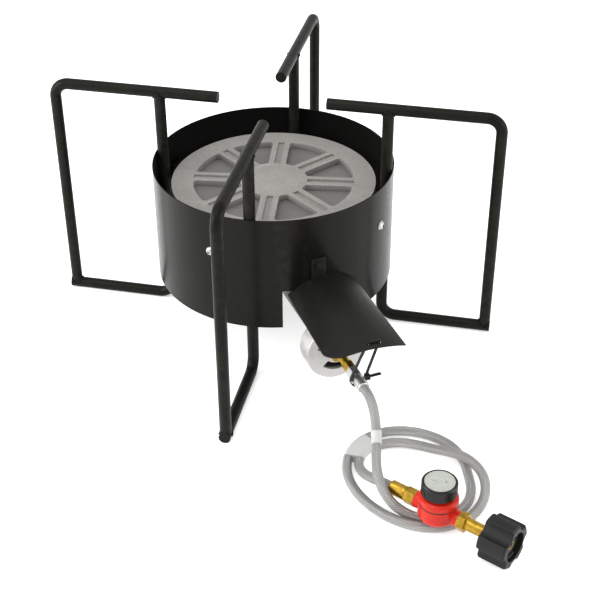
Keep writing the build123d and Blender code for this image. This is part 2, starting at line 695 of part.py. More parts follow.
def cable_tie():
    """A strap through the shield's two slots and round the hose end, with its head and cut tail."""
    hose_hold_r = SWIVEL_NUT_AF / 2 / math.cos(math.radians(30)) + 4 * CONTACT_GAP
    corner_r = TIE_STRAP / 2

    def loop(grow):
        outline = Pos(0, VENTURI_Z) * Circle(hose_hold_r + grow).edge()
        edges = [outline]
        for lateral in (TIE_SLOT_NEAR, TIE_SLOT_FAR):
            top = shield_top(TIE_R, lateral) + 4 * CONTACT_GAP
            edges.append(Pos(lateral, top) * Circle(corner_r + grow).edge())
        return Pos(TIE_R - TIE_WIDTH / 2, 0, 0) * extrude(Plane.YZ * make_hull(edges), TIE_WIDTH)

    strap = loop(TIE_STRAP) - loop(0)
    head_y = hose_hold_r + TIE_STRAP + TIE_HEAD / 2 - 0.6
    strap += Pos(TIE_R, head_y, VENTURI_Z) * Box(TIE_HEAD, TIE_HEAD, TIE_HEAD)
    tail_y = head_y + TIE_HEAD / 2 + TIE_TAIL / 2
    strap += Pos(TIE_R, tail_y - 0.5, VENTURI_Z) * Box(TIE_WIDTH, TIE_TAIL + 1, TIE_STRAP)
    return Rot(0, 0, VENTURI_AZIMUTH) * strap


# Regulator: built on the origin's axis with its inlet along +X, then put in place

bonnet_bottom_z = REG_BODY_TOP_Z + DIAPHRAGM_THICKNESS
plate_bottom_z = bonnet_bottom_z + CONTACT_GAP
plate_top_z = plate_bottom_z + DIAPHRAGM_PLATE
shoulder_top_z = bonnet_bottom_z + BONNET_FLANGE + BONNET_SHOULDER
spring_ceiling_z = BONNET_NECK_TOP_Z - BONNET_CEILING
button_top_z = spring_ceiling_z - CONTACT_GAP
button_bottom_z = button_top_z - BUTTON
knob_bottom_z = shoulder_top_z + SCREW_TRAVEL + KNOB_CLEARANCE
screw_top_z = KNOB_TOP_Z - FACE_THICKNESS


def at_regulator(shape):
    return Pos(REG_X, REG_Y, 0) * Rot(0, 0, REG_AZIMUTH) * shape


def regulator_body():
    body = rod_z(REG_BODY_D, REG_BODY_BOTTOM_Z, REG_BODY_TOP_Z)
    body = fillet(body.edges().filter_by(GeomType.CIRCLE).group_by(Axis.Z)[0], REG_BODY_EDGE_R)
    body += rod_x(REG_BOSS_D, -REG_BOSS_END, REG_BOSS_END, PORT_Z)
    body -= rod_z(REG_CHAMBER_D, REG_BODY_TOP_Z - REG_CHAMBER_DEPTH, REG_BODY_TOP_Z + REG_BOSS_D)
    body -= Pos(0, 0, REG_BODY_TOP_Z + REG_BOSS_D / 2) * Box(4 * REG_BODY_D, REG_BODY_D, REG_BOSS_D)
    body -= rod_x(REG_PASSAGE_D, -VALVE_HEAD_D / 2, REG_BOSS_END, PORT_Z)
    outlet_x = -REG_CHAMBER_D / 2 + REG_PASSAGE_D
    body -= rod_x(REG_PASSAGE_D, -REG_BOSS_END, outlet_x, PORT_Z)
    body -= Pos(outlet_x, 0, 0) * rod_z(REG_PASSAGE_D, PORT_Z, REG_BODY_TOP_Z)
    body -= rod_z(REG_SEAT_D, PORT_Z, REG_BODY_TOP_Z)
    body -= rod_z(REG_PASSAGE_D, PORT_Z, PORT_Z + REG_PASSAGE_D / 2)
    return body


def diaphragm():
    return rod_z(REG_BODY_D - 2 * DIAPHRAGM_SET_BACK, REG_BODY_TOP_Z, bonnet_bottom_z)


def diaphragm_plate():
    return rod_z(DIAPHRAGM_PLATE_D, plate_bottom_z, plate_top_z)


def valve_pin():
    head_top_z = PORT_Z + REG_PASSAGE_D / 2 - VALVE_LIFT
    pin = rod_z(VALVE_PIN_D, head_top_z - VALVE_HEAD, REG_BODY_TOP_Z)
    return pin + rod_z(VALVE_HEAD_D, head_top_z - VALVE_HEAD, head_top_z)


def regulator_bonnet():
    flange_top_z = bonnet_bottom_z + BONNET_FLANGE
    shoulder_r = BONNET_SHOULDER_D / 2
    neck_r = BONNET_NECK_D / 2
    bonnet = turned([
        (0, bonnet_bottom_z),
        (REG_BODY_D / 2, bonnet_bottom_z),
        (REG_BODY_D / 2, flange_top_z),
        (shoulder_r, shoulder_top_z),
        (neck_r, shoulder_top_z),
        (neck_r, BONNET_NECK_TOP_Z),
        (0, BONNET_NECK_TOP_Z),
    ])
    bonnet -= rod_z(REG_CHAMBER_D, bonnet_bottom_z, plate_top_z + 1)
    bonnet -= rod_z(SPRING_CHAMBER_D, bonnet_bottom_z, spring_ceiling_z)
    return bonnet - rod_z(SCREW_D + 2 * RUNNING_CLEARANCE, spring_ceiling_z, BONNET_NECK_TOP_Z)


def spring_button():
    return rod_z(SPRING_CHAMBER_D - 2 * BUTTON_CLEARANCE, button_bottom_z, button_top_z)


def adjusting_screw():
    return rod_z(SCREW_D, button_top_z, screw_top_z - CONTACT_GAP)


def regulator_knob():
    knob = rod_z(KNOB_D, knob_bottom_z, KNOB_TOP_Z)
    knob = chamfer(knob.edges().filter_by(GeomType.CIRCLE).group_by(Axis.Z)[-1], KNOB_CHAMFER)
    cavity_top_z = KNOB_TOP_Z - FACE_THICKNESS - KNOB_CROWN
    knob -= rod_z(KNOB_D - 2 * KNOB_WALL, knob_bottom_z, cavity_top_z)
    knob -= rod_z(SCREW_D + 2 * CONTACT_GAP, knob_bottom_z, KNOB_TOP_Z)
    knob -= rod_z(FACE_D + 2 * CONTACT_GAP, KNOB_TOP_Z - FACE_THICKNESS, KNOB_TOP_Z)
    skirt_z = (knob_bottom_z + KNOB_TOP_Z) / 2 - KNOB_CHAMFER
    height = KNOB_TOP_Z - knob_bottom_z - 2 * KNOB_CHAMFER
    ridge = Pos(KNOB_D / 2, 0, skirt_z) * Box(2 * KNOB_RIDGE_DEPTH, KNOB_RIDGE_WIDTH, height)
    return knob - [Rot(0, 0, 360 / KNOB_RIDGES * k) * ridge for k in range(KNOB_RIDGES)]


def knob_face():
    return rod_z(FACE_D, KNOB_TOP_Z - FACE_THICKNESS, KNOB_TOP_Z)


def inlet_nipple():
    collar_start = HAND_NUT_BACK + HAND_NUT_BACK_WALL + COLLAR_GAP
    hex_end = REG_BOSS_END + INLET_HEX
    nipple = hex_x(INLET_HEX_AF, REG_BOSS_END, hex_end, PORT_Z)
    nipple += rod_x(INLET_TUBE_D, hex_end, collar_start, PORT_Z)
    nipple += rod_x(INLET_COLLAR_D, collar_start, collar_start + INLET_COLLAR, PORT_Z)
    nipple += rod_x(INLET_NOSE_D, collar_start, INLET_END, PORT_Z)
    return nipple - rod_x(INLET_BORE_D, REG_BOSS_END, INLET_END, PORT_Z)


def inlet_seal():
    start = INLET_END - SEAL_LENGTH
    seal = rod_x(SEAL_D, start, INLET_END, PORT_Z)
    return seal - rod_x(INLET_NOSE_D + 2 * CONTACT_GAP, start, INLET_END, PORT_Z)


def hand_nut():
    nut = rod_x(HAND_NUT_D, HAND_NUT_BACK, HAND_NUT_FRONT)
    nut = chamfer(nut.edges().filter_by(GeomType.CIRCLE), 2)
    valley = Pos(0, HAND_NUT_VALLEY_R, 0) * rod_x(HAND_NUT_VALLEY_D, HAND_NUT_BACK, HAND_NUT_FRONT)
    for k in range(HAND_NUT_LOBES):
        nut -= Rot(360 / HAND_NUT_LOBES * k - 90, 0, 0) * valley
    nut -= rod_x(HAND_NUT_SOCKET_D, HAND_NUT_BACK + HAND_NUT_BACK_WALL, HAND_NUT_FRONT)
    nut -= rod_x(INLET_TUBE_D + 2 * RUNNING_CLEARANCE, HAND_NUT_BACK, HAND_NUT_FRONT)
    return Pos(0, 0, PORT_Z) * nut


def outlet_nut():
    start = -REG_BOSS_END - OUTLET_NUT
    nut = hex_x(OUTLET_NUT_AF, start, -REG_BOSS_END, PORT_Z)
    return nut - rod_x(REG_PASSAGE_D, start, -REG_BOSS_END, PORT_Z)


tail_end_x = -REG_BOSS_END - OUTLET_NUT - OUTLET_FERRULE


def outlet_ferrule():
    end = -REG_BOSS_END - OUTLET_NUT
    ferrule = rod_x(OUTLET_FERRULE_D, tail_end_x, end, PORT_Z)
    ferrule = chamfer(ferrule.edges().filter_by(GeomType.CIRCLE), 1)
    return ferrule - rod_x(REG_PASSAGE_D, tail_end_x, end, PORT_Z)


# Hose: a free lead, a coil with a crossing, and a free tail

def smooth(share):
    share = min(max(share, 0.0), 1.0)
    return share * share * (3 - 2 * share)


def coil_point(angle):
    """The hose's centre line in the coil. Both passes trade places at the crossing, one over the other."""
    second_pass = angle > COIL_CROSSING + 180
    turn = angle - (COIL_CROSSING + (360 if second_pass else 0))
    swap = smooth(turn / COIL_SWAP_SPAN + 0.5)
    inward = swap if second_pass else 1 - swap
    oval = COIL_OVAL * math.cos(math.radians(2 * (angle - COIL_OVAL_AZIMUTH)))
    facing_back = (1 + math.cos(math.radians(angle - COIL_BACK_AZIMUTH))) / 2
    step = COIL_STRAND_STEP + COIL_BACK_SPREAD * facing_back**2
    radius = COIL_OUTER_R + oval - step * inward
    z = coil_z
    if second_pass:
        z += COIL_HUMP * smooth(1 - abs(turn) / (COIL_HUMP_SPAN / 2))
    return Vector(COIL_X, COIL_Y, 0) + polar(angle, radius, z)


def coil_tangent(angle):
    return (coil_point(angle + 0.05) - coil_point(angle - 0.05)).normalized()


def biarc(start, start_dir, end, end_dir):
    """Two arcs that leave start along start_dir and reach end along end_dir."""
    chord = end - start
    both = start_dir + end_dir
    bend = 2 * (1 - start_dir.dot(end_dir))
    reach = chord.dot(both)
    if bend < 1e-9:
        handle = chord.dot(chord) / (2 * reach)
    else:
        handle = (math.sqrt(reach**2 + bend * chord.dot(chord)) - reach) / bend
    first = start + start_dir * handle
    second = end - end_dir * handle
    middle = (first + second) * 0.5
    joint_dir = (second - first).normalized()
    return [TangentArc(start, middle, tangent=start_dir), TangentArc(middle, end, tangent=joint_dir)]


def coil_path():
    steps = math.ceil((COIL_END - COIL_START) / COIL_STEP)
    angles = [COIL_START + (COIL_END - COIL_START) * k / steps for k in range(steps + 1)]
    arcs = []
    for a, b in zip(angles, angles[1:]):
        arcs += biarc(coil_point(a), coil_tangent(a), coil_point(b), coil_tangent(b))
    return Wire(arcs)


def cord_radii(points):
    """The largest radius that each corner's two runs allow."""
    radii = []
    for before, corner, after in zip(points, points[1:], points[2:]):
        run_in = corner - before
        run_out = after - corner
        half_turn = math.radians(run_in.get_angle(run_out)) / 2
        radii.append(0.45 * min(run_in.length, run_out.length) / math.tan(half_turn))
    return radii


def cord_path(name, points):
    points = [Vector(*p) for p in points]
    radii = cord_radii(points)
    print(name, "radii", [round(r, 1) for r in radii])
    return FilletPolyline(*points, radius=radii)


def reg_point(x, z):
    return Vector(REG_X, REG_Y, 0) + polar(REG_AZIMUTH, x, z)


lead_start = polar(VENTURI_AZIMUTH, lead_start_r, VENTURI_Z)
lead_out = polar(VENTURI_AZIMUTH, lead_start_r + LEAD_OUT, VENTURI_Z)
tail_end = reg_point(tail_end_x, PORT_Z)
coil_lead_in = coil_point(COIL_START) - coil_tangent(COIL_START) * LEAD_IN
coil_tail_out = coil_point(COIL_END) + coil_tangent(COIL_END) * TAIL_STUB
tail_stub = reg_point(tail_end_x - TAIL_STUB, PORT_Z)


def hose_lead_path():
    return cord_path("hose_lead", [lead_start, lead_out, *LEAD_POINTS, coil_lead_in, coil_point(COIL_START)])


def hose_tail_path():
    return cord_path("hose_tail", [coil_point(COIL_END), coil_tail_out, *TAIL_POINTS, tail_stub, tail_end])


def path_points(path, start, step=2.0):
    count = max(2, round(path.length / step))
    points = [path @ (k / count) for k in range(count + 1)]
    if (points[0] - start).length > (points[-1] - start).length:
        points.reverse()
    return points


def least_gap(points, skip):
    """Least clear distance between stretches of the hose that aren't next to each other."""
    least = math.inf
    for i, a in enumerate(points):
        for b in points[i + skip:]:
            least = min(least, (a - b).length)
    return least - HOSE_D


def lead_band(path):
    """A wrap of tape round the lead, where it comes down over the coil."""
    stretch = path.trim(LEAD_BAND_FROM, LEAD_BAND_TO)
    inner_d = HOSE_D + 2 * BAND_GAP
    return tube_along(stretch, inner_d + 2 * BAND_THICKNESS) - tube_along(stretch, inner_d)


def coil_band(tail):
    """A wrap of tape round the coil's outer strand and the tail that runs beside it."""
    inner = tail @ TAIL_BAND_AT
    outer = coil_point(COIL_BAND_ANGLE)
    across = (outer - inner).normalized()
    along = coil_tangent(COIL_BAND_ANGLE)
    frame = Plane(origin=(inner + outer) * 0.5, x_dir=across, z_dir=along)
    half = (outer - inner).length / 2
    clear_r = hose_r + COIL_BAND_GAP

    def wrap(radius):
        return make_hull([Pos(-half, 0) * Circle(radius).edge(), Pos(half, 0) * Circle(radius).edge()])

    ring = wrap(clear_r + BAND_THICKNESS) - wrap(clear_r)
    return extrude(frame * ring, COIL_BAND_LENGTH / 2, both=True)


def regulator_spring():
    """A helix from half-turn arcs between the diaphragm plate and the spring button."""
    bottom = plate_top_z + SPRING_WIRE_D / 2 + CONTACT_GAP
    top = button_bottom_z - SPRING_WIRE_D / 2 - CONTACT_GAP
    pitch = (top - bottom) / SPRING_TURNS
    coil_r = SPRING_D / 2

    def point(turn):
        return polar(360 * turn, coil_r, bottom + pitch * turn)

    def direction(turn):
        climb = pitch / (2 * math.pi * coil_r)
        return (polar(360 * turn + 90, 1) + Vector(0, 0, climb)).normalized()

    arcs = []
    for k in range(4 * SPRING_TURNS):
        a = k / 4
        b = a + 0.25
        arcs += biarc(point(a), direction(a), point(b), direction(b))
    return tube_along(Wire(arcs), SPRING_WIRE_D)


def main():
    os.makedirs("parts", exist_ok=True)

    upper, lower = leg_bars()
    for side, azimuth in LEG_AZIMUTHS.items():
        save(f"leg_upper_{side}", Rot(0, 0, azimuth) * upper)
        save(f"leg_lower_{side}", Rot(0, 0, azimuth) * lower)

    save("windscreen", windscreen())
    bracket = burner_bracket()
    for k, azimuth in enumerate(bracket_azimuths):
        save(f"burner_bracket_{k + 1}", Rot(0, 0, azimuth) * bracket)
    save("windscreen_bolts", [Rot(0, 0, a) * screen_bolt() for a in bracket_azimuths])
    save("windscreen_nuts", [Rot(0, 0, a) * screen_nut() for a in bracket_azimuths])
    save("bracket_screws", [Rot(0, 0, a) * foot_screw() for a in bracket_azimuths])

    save("burner_head", burner_head())
    save("burner_base", burner_base())
    save("burner_bolts", [Rot(0, 0, a) * burner_bolt() for a in burner_bolt_azimuths])

    save("air_shutter", on_venturi(air_shutter()))
    save("orifice_nipple", on_venturi(orifice_nipple()))
    save("gas_jet", on_venturi(gas_jet()))
    save("shutter_lock_nut", on_venturi(lock_nut()))
    save("hose_adapter", on_venturi(hose_adapter()))
    save("hose_swivel_nut", on_venturi(swivel_nut()))
    save("hose_ferrule_burner", on_venturi(lead_ferrule()))

    save("heat_shield", heat_shield())
    save("shield_screw", shield_screw())
    save("shield_nut", shield_nut())
    save("cable_tie", cable_tie())

    save("regulator_body", at_regulator(regulator_body()))
    save("diaphragm", at_regulator(diaphragm()))
    save("diaphragm_plate", at_regulator(diaphragm_plate()))
    save("valve_pin", at_regulator(valve_pin()))
    save("regulator_bonnet", at_regulator(regulator_bonnet()))
    save("regulator_spring", at_regulator(regulator_spring()))
    save("spring_button", at_regulator(spring_button()))
    save("adjusting_screw", at_regulator(adjusting_screw()))
    save("regulator_knob", at_regulator(regulator_knob()))
    save("knob_face", at_regulator(knob_face()))
    save("inlet_nipple", at_regulator(inlet_nipple()))
    save("inlet_seal", at_regulator(inlet_seal()))
    save("hand_nut", at_regulator(hand_nut()))
    save("hose_nut_regulator", at_regulator(outlet_nut()))
    save("hose_ferrule_regulator", at_regulator(outlet_ferrule()))

    lead_path = hose_lead_path()
    coil_wire = coil_path()
    tail_path = hose_tail_path()
    section = math.pi * hose_r**2
    for name, path in (("hose_lead", lead_path), ("hose_coil", coil_wire), ("hose_tail", tail_path)):
        tube = tube_along(path, HOSE_D)
        print(name, "length", round(path.length, 1), "volume share", round(tube.volume / section / path.length, 4))
        save(name, tube)
    route = path_points(lead_path, lead_start)[:-1]
    route += path_points(coil_wire, coil_point(COIL_START))[:-1]
    route += path_points(tail_path, coil_point(COIL_END))
    print("hose length", round(lead_path.length + coil_wire.length + tail_path.length, 1))
    print("least gap of the hose to itself", round(least_gap(route, 12), 2))
    save("hose_band_lead", lead_band(lead_path))
    save("hose_band_coil", coil_band(tail_path))


main()
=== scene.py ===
import json
import math

import bpy
from bpy.props import FloatProperty, FloatVectorProperty, IntProperty, PointerProperty
from bpy.types import Operator, Panel, PropertyGroup
from mathutils import Matrix, Quaternion, Vector

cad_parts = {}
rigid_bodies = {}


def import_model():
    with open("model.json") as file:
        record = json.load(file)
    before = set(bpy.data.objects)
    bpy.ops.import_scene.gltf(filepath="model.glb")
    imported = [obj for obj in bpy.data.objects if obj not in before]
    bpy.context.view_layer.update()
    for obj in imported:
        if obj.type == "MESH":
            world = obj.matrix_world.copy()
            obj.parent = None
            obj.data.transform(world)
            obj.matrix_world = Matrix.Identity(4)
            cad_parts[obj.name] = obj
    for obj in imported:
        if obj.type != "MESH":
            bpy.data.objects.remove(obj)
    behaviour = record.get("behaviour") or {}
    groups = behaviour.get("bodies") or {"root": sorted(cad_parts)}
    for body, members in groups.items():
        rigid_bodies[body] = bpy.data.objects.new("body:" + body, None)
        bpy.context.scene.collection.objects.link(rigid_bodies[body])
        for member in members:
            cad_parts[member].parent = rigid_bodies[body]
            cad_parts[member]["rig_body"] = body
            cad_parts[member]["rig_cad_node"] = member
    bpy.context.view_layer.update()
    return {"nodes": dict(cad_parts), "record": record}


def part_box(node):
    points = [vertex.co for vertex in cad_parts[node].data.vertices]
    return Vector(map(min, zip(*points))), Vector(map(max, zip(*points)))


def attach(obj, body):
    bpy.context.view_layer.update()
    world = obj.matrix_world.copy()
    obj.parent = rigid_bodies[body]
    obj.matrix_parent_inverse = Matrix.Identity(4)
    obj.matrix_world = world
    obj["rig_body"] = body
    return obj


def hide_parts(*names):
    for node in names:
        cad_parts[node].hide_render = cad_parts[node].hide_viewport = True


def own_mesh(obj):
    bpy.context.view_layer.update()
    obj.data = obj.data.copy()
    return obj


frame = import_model()

bl_info = {
    "name": "Outdoor gas cooker",
    "version": (1, 0, 0),
    "blender": (4, 5, 0),
    "location": "3D View > Sidebar > Cooker",
    "description": "Dresses the packed gas cooker with its finishes, hose and fine details",
    "category": "Add Mesh",
}

MM = 0.001

# The stand. Sizes are in millimetres and angles in degrees, as far as the tape's wrap.
LEG_AZIMUTHS = {"right": 0.0, "back": 90.0, "left": 180.0, "front": 270.0}
ROD_R = 7.0
LEG_SHIFT = 4.5
LEG_TOP_Z = 300.0
LEG_REACH = 275.0
SCREEN_INNER_R = 147.5
UPRIGHT_R = math.sqrt((SCREEN_INNER_R - ROD_R) ** 2 - LEG_SHIFT**2)
BRACKET_AZIMUTH = -17.0
BOLT_COUNT = 4
BOLT_TIP_R = 153.0
BOLT_SOCKET_R = 2.3
BOLT_SOCKET_CUT = 4.0

# The weld beads: a saddle round each end of an upright, and fillets down the windscreen's inner face
SADDLE_R = ROD_R + 0.2
SADDLE_RIPPLES = 18
SADDLE_RIPPLE = 0.09
SADDLE_LIMIT = LEG_REACH + ROD_R - 0.1
FILLET_HEIGHTS = (90.0, 205.0)
FILLET_HALF_LENGTH = 13.0
FILLET_SIDEWAYS = 4.6
FILLET_R = SCREEN_INNER_R - 1.6
FILLET_RIPPLES = 22
FILLET_RIPPLE = 0.08

# Where the painted shade on the windscreen's inner face ends in its wall, and where the burner's recesses end
# and its ribs start, the heights between which the painted shade in the recesses fades out
INNER_SHADE_FROM_R = SCREEN_INNER_R + 0.3
INNER_SHADE_TO_R = SCREEN_INNER_R + 1.2
# Near-black colour of the windscreen's inner face: painted shade
INNER_SHADE_COLOUR = (0.0006, 0.0006, 0.0006)
RECESS_Z = 184.5
RIB_Z = 191.0
COAT_SHEEN = (1.0, 0.975, 0.9, 1.0)

# The gas fittings
VENTURI_AZIMUTH = -56.5
VENTURI_Z = 72.0
REG_CENTRE = (260.0, -366.0)
REG_AZIMUTH = -25.0
PORT_Z = 24.1
NIPPLE_THREAD_START = 220.5
NIPPLE_THREAD = {"radius": 4.9, "depth": 0.5, "pitch": 1.4, "turns": 13}
HAND_NUT_THREAD_START = 70.0
HAND_NUT_THREAD = {"radius": 16.5, "depth": 0.9, "pitch": 2.5, "turns": 7, "inward": True}
THREAD_FLANK = 0.46
THREAD_STEPS = 28

# How far the edges of single pieces are rounded
EDGES = {
    "air_shutter": 0.6,
    "cable_tie": 0.3,
    "regulator_body": 1.4,
    "regulator_bonnet": 1.0,
    "knob_face": 0.3,
    "hand_nut": 1.2,
}

# The marks on the knob's face
TICKS = 24
TICKS_PER_LONG = 6
LONG_TICK = 2.6
SHORT_TICK = 1.5
TICK_WIDTH = 0.4
TICK_INSET = 1.2
SIGN_LENGTH = 4.6
SIGN_WIDTH = 0.8
SIGN_PLACE = 0.42
INK_HEIGHT = 0.08
INK_EDGE = 0.03

# The hose's route: down from the burner, round the coil, and up to the regulator
LEAD_START = (287.0, 297.0)
LEAD_POINTS = [
    (171.0, -258.7, 67.5),
    (176.0, -268.7, 57.9),
    (178.8, -276.1, 47.4),
    (181.2, -286.5, 39.6),
    (183.4, -300.0, 35.8),
    (186.0, -317.5, 35.4),
    (190.0, -336.0, 36.4),
    (197.4, -351.3, 30.2),
    (207.9, -360.0, 20.6),
    (220.2, -363.3, 12.7),
    (233.2, -364.9, 7.8),
]
COIL_CENTRE = (228.0, -300.5)
COIL_Z = 6.1
COIL_OUTER_R = 77.5
COIL_OVAL = 8.0
COIL_OVAL_AZIMUTH = -40.0
COIL_STRAND_STEP = 13.2
COIL_BACK_SPREAD = 11.0
COIL_BACK_AZIMUTH = 72.0
COIL_START = -74.0
COIL_END = 498.0
COIL_STEP = 22.0
COIL_CROSSING = 30.0
COIL_SWAP_SPAN = 70.0
COIL_HUMP = 13.0
COIL_HUMP_SPAN = 140.0
TAIL_OUT = 11.0
TAIL_POINTS = [
    (164.1, -272.7, 6.12),
    (162.0, -283.6, 6.35),
    (163.5, -295.5, 7.2),
    (168.0, -306.5, 9.4),
    (175.3, -316.9, 13.6),
    (184.0, -326.9, 18.9),
]
TAIL_END = (-70.0, -59.0)

# Sides of the hose's tubes, and the tape's wraps, whose lengths count points of the hose's line
HOSE_SIDES = 24
BAND_SIDES = 28
WRAP_SIDES = 48
WRAP_BACK = 10
WRAP_ON = 4
STRAND_BREAK = 5
BESIDE_BACK = 40
TAPE_CREASE = 0.02
TAPE_CREASE_STEP = 1.7
TAPE_FOLDS = 3
TAPE_FLATNESS = 4
TAPE_DRAWN_IN = 0.08
FLOOR_CLEARANCE = 0.02

# The camera and the lights, in degrees and metres
VIEW_AZIMUTH = 12.24
VIEW_ELEVATION = 34.22
VIEW_ROLL = -0.24
VIEW_TARGET = (0.0678, -0.1606, 0.1273)
VIEW_DISTANCE = 1.5
SENSOR_WIDTH = 36
FLOOR_SIZE = 14
LIGHT_TARGET = (0.05, -0.12, 0.12)
LIGHTS = (
    {"name": "key_light", "place": (-0.5, -0.7, 2.2), "size": 1.6, "share": 1.0},
    {"name": "right_light", "place": (1.9, -0.3, 0.8), "size": 1.0, "share": 0.8},
    {"name": "left_light", "place": (-1.8, -0.9, 0.8), "size": 1.2, "share": 2.0},
)


def colour_setting(name, description, default):
    """A colour that a user can change."""
    return FloatVectorProperty(
        name=name, description=description, subtype="COLOR", min=0, max=1, default=default)


def length_setting(name, description, default):
    """A length in metres that a user can change."""
    return FloatProperty(
        name=name, description=description, subtype="DISTANCE", unit="LENGTH", default=default)


class CookerFinishes(PropertyGroup):
    """Colours of the cooker's materials"""
    coat_colour: colour_setting(
        "Powder coat", "Colour of the legs, windscreen and shield", (0.0052, 0.0051, 0.0043))
    casting_colour: colour_setting("Burner casting", "Colour of the cast burner", (0.24, 0.229, 0.216))
    steel_colour: colour_setting(
        "Bright steel", "Colour of the braid, shutter and bolts", (0.66, 0.65, 0.635))
    brass_colour: colour_setting("Brass", "Colour of the gas fittings", (0.42, 0.27, 0.032))
    enamel_colour: colour_setting("Red enamel", "Colour of the regulator", (0.46, 0.012, 0.003))
    plastic_colour: colour_setting(
        "Black plastic", "Colour of the knob, hand nut and cable tie", (0.006, 0.006, 0.0058))
    white_colour: colour_setting("White", "Colour of the tape", (0.44, 0.44, 0.43))
    face_colour: colour_setting("Knob face", "Colour of the knob's pale face", (0.33, 0.34, 0.315))
    print_colour: colour_setting("Print", "Colour of the marks on the knob's face", (0.16, 0.16, 0.155))
    rubber_colour: colour_setting("Rubber", "Colour of the seal and the diaphragm", (0.03, 0.03, 0.03))


class CookerSizes(PropertyGroup):
    """Sizes of the hose, the tape, the welds and the rounded edges"""
    hose_diameter: length_setting("Hose", "Diameter over the steel braid", 0.011)
    braid_strands: IntProperty(
        name="Braid strands", description="Strands round the hose in each direction", default=12)
    tape_thickness: length_setting("Tape", "Thickness of the wraps of tape", 0.0005)
    weld_radius: length_setting("Weld bead", "Radius of the weld beads on the legs", 0.0016)
    casting_edge: length_setting("Casting edge", "Rounding of the castings' edges", 0.0009)
    sheet_edge: length_setting("Sheet edge", "Rounding of the sheet metal's edges", 0.0004)
    fitting_edge: length_setting("Fitting edge", "Rounding of the gas fittings' edges", 0.0005)


class CookerStudio(PropertyGroup):
    """The floor, the light and the lens"""
    floor_colour: colour_setting("Floor", "Colour of the studio floor", (0.85, 0.85, 0.85))
    sky_strength: FloatProperty(
        name="Sky", description="Strength of the even light from all round", default=1.05)
    floor_glow: FloatProperty(
        name="Floor glow", description="Light that the floor gives off, as on a light table", default=0.42)
    key_power: FloatProperty(
        name="Key light", description="Power of the large light above", unit="POWER", default=20.0)
    lens: FloatProperty(
        name="Lens", description="Focal length of the camera in millimetres", default=77.34)


# Small helpers for shaping and placing

def heading(azimuth):
    """The level direction at an azimuth in degrees."""
    turn = math.radians(azimuth)
    return Vector((math.cos(turn), math.sin(turn), 0))


def venturi_point(radius):
    """A point along the venturi, from the windscreen's axis outwards."""
    return (heading(VENTURI_AZIMUTH) * radius + Vector((0, 0, VENTURI_Z))) * MM


def regulator_point(along):
    """A point on the regulator, along the line from the hose to the hand nut."""
    return (Vector((*REG_CENTRE, PORT_Z)) + heading(REG_AZIMUTH) * along) * MM


def deselect():
    """Leaves edit mode with nothing selected."""
    if bpy.context.mode != "OBJECT":
        bpy.ops.object.mode_set(mode="OBJECT")
    bpy.ops.object.select_all(action="DESELECT")


def choose(piece):
    """Makes a piece the only selected one, and the active one."""
    deselect()
    piece.select_set(True)
    bpy.context.view_layer.objects.active = piece


def smooth(piece, angle=38.0):
    """Shades a piece smooth, apart from edges sharper than an angle in degrees."""
    choose(piece)
    bpy.ops.object.shade_smooth_by_angle(angle=math.radians(angle))


def applied(piece, modifier):
    """Applies a modifier to a piece's mesh."""
    choose(piece)
    bpy.ops.object.modifier_apply(modifier=modifier.name)


def clean(piece):
    """Merges doubles and turns every face outwards."""
    choose(piece)
    bpy.ops.object.mode_set(mode="EDIT")
    bpy.ops.mesh.select_all(action="SELECT")
    bpy.ops.mesh.remove_doubles(threshold=0.00001)
    bpy.ops.mesh.normals_make_consistent(inside=False)
    bpy.ops.object.mode_set(mode="OBJECT")


def named(piece, name):
    """Names a piece and its mesh."""
    piece.name = name
    piece.data.name = name
    return piece


def linked(name, data):
    """A new object in the scene that shows some data."""
    holder = bpy.data.objects.new(name, data)
    bpy.context.scene.collection.objects.link(holder)
    return holder


def joined(pieces, name):
    """Makes one piece of several."""
    deselect()
    for piece in pieces:
        piece.select_set(True)
    bpy.context.view_layer.objects.active = pieces[0]
    bpy.ops.object.join()
    return named(pieces[0], name)


def finish_piece(piece, material, body, slot, *nodes):
    """Gives a piece its finish and the body it moves with, and hides the nodes that it stands for."""
    piece.data.materials.clear()
    piece.data.materials.append(material)
    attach(piece, body)
    if nodes:
        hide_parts(*nodes)
    return piece


def slot_of(node):
    """The record's material slot of a node."""
    return next(part["material_slot"] for part in frame["record"]["subparts"] if part["node"] == node)


def body_of(node):
    """The body that a node moves with."""
    bodies = frame["record"]["behaviour"]["bodies"]
    return next(body for body, nodes in bodies.items() if node in nodes)


def copied(node):
    """A merged copy of a node's mesh as a piece of its own."""
    choose(frame["nodes"][node])
    bpy.ops.object.duplicate()
    piece = named(bpy.context.object, f"{node}_formed")
    piece.parent = None
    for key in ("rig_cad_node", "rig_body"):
        if key in piece:
            del piece[key]
    bpy.ops.object.mode_set(mode="EDIT")
    bpy.ops.mesh.select_all(action="SELECT")
    bpy.ops.mesh.customdata_custom_splitnormals_clear()
    bpy.ops.mesh.remove_doubles(threshold=0.000005)
    bpy.ops.mesh.dissolve_limited(angle_limit=math.radians(0.6))
    bpy.ops.object.mode_set(mode="OBJECT")
    return piece


def rounded(node, width, finish=None, steps=2, angle=34.0, piece=None):
    """A copy of a node, or a piece made from one, with its sharp edges rounded, in the node's place."""
    piece = piece or copied(node)
    bevel = piece.modifiers.new("Rounded edges", "BEVEL")
    bevel.width = width
    bevel.segments = steps
    bevel.limit_method = "ANGLE"
    bevel.angle_limit = math.radians(angle)
    bevel.use_clamp_overlap = True
    applied(piece, bevel)
    smooth(piece)
    even = piece.modifiers.new("Even shading", "WEIGHTED_NORMAL")
    even.keep_sharp = True
    applied(piece, even)
    slot = slot_of(node)
    return finish_piece(piece, FINISHES[finish or slot], body_of(node), slot, node)


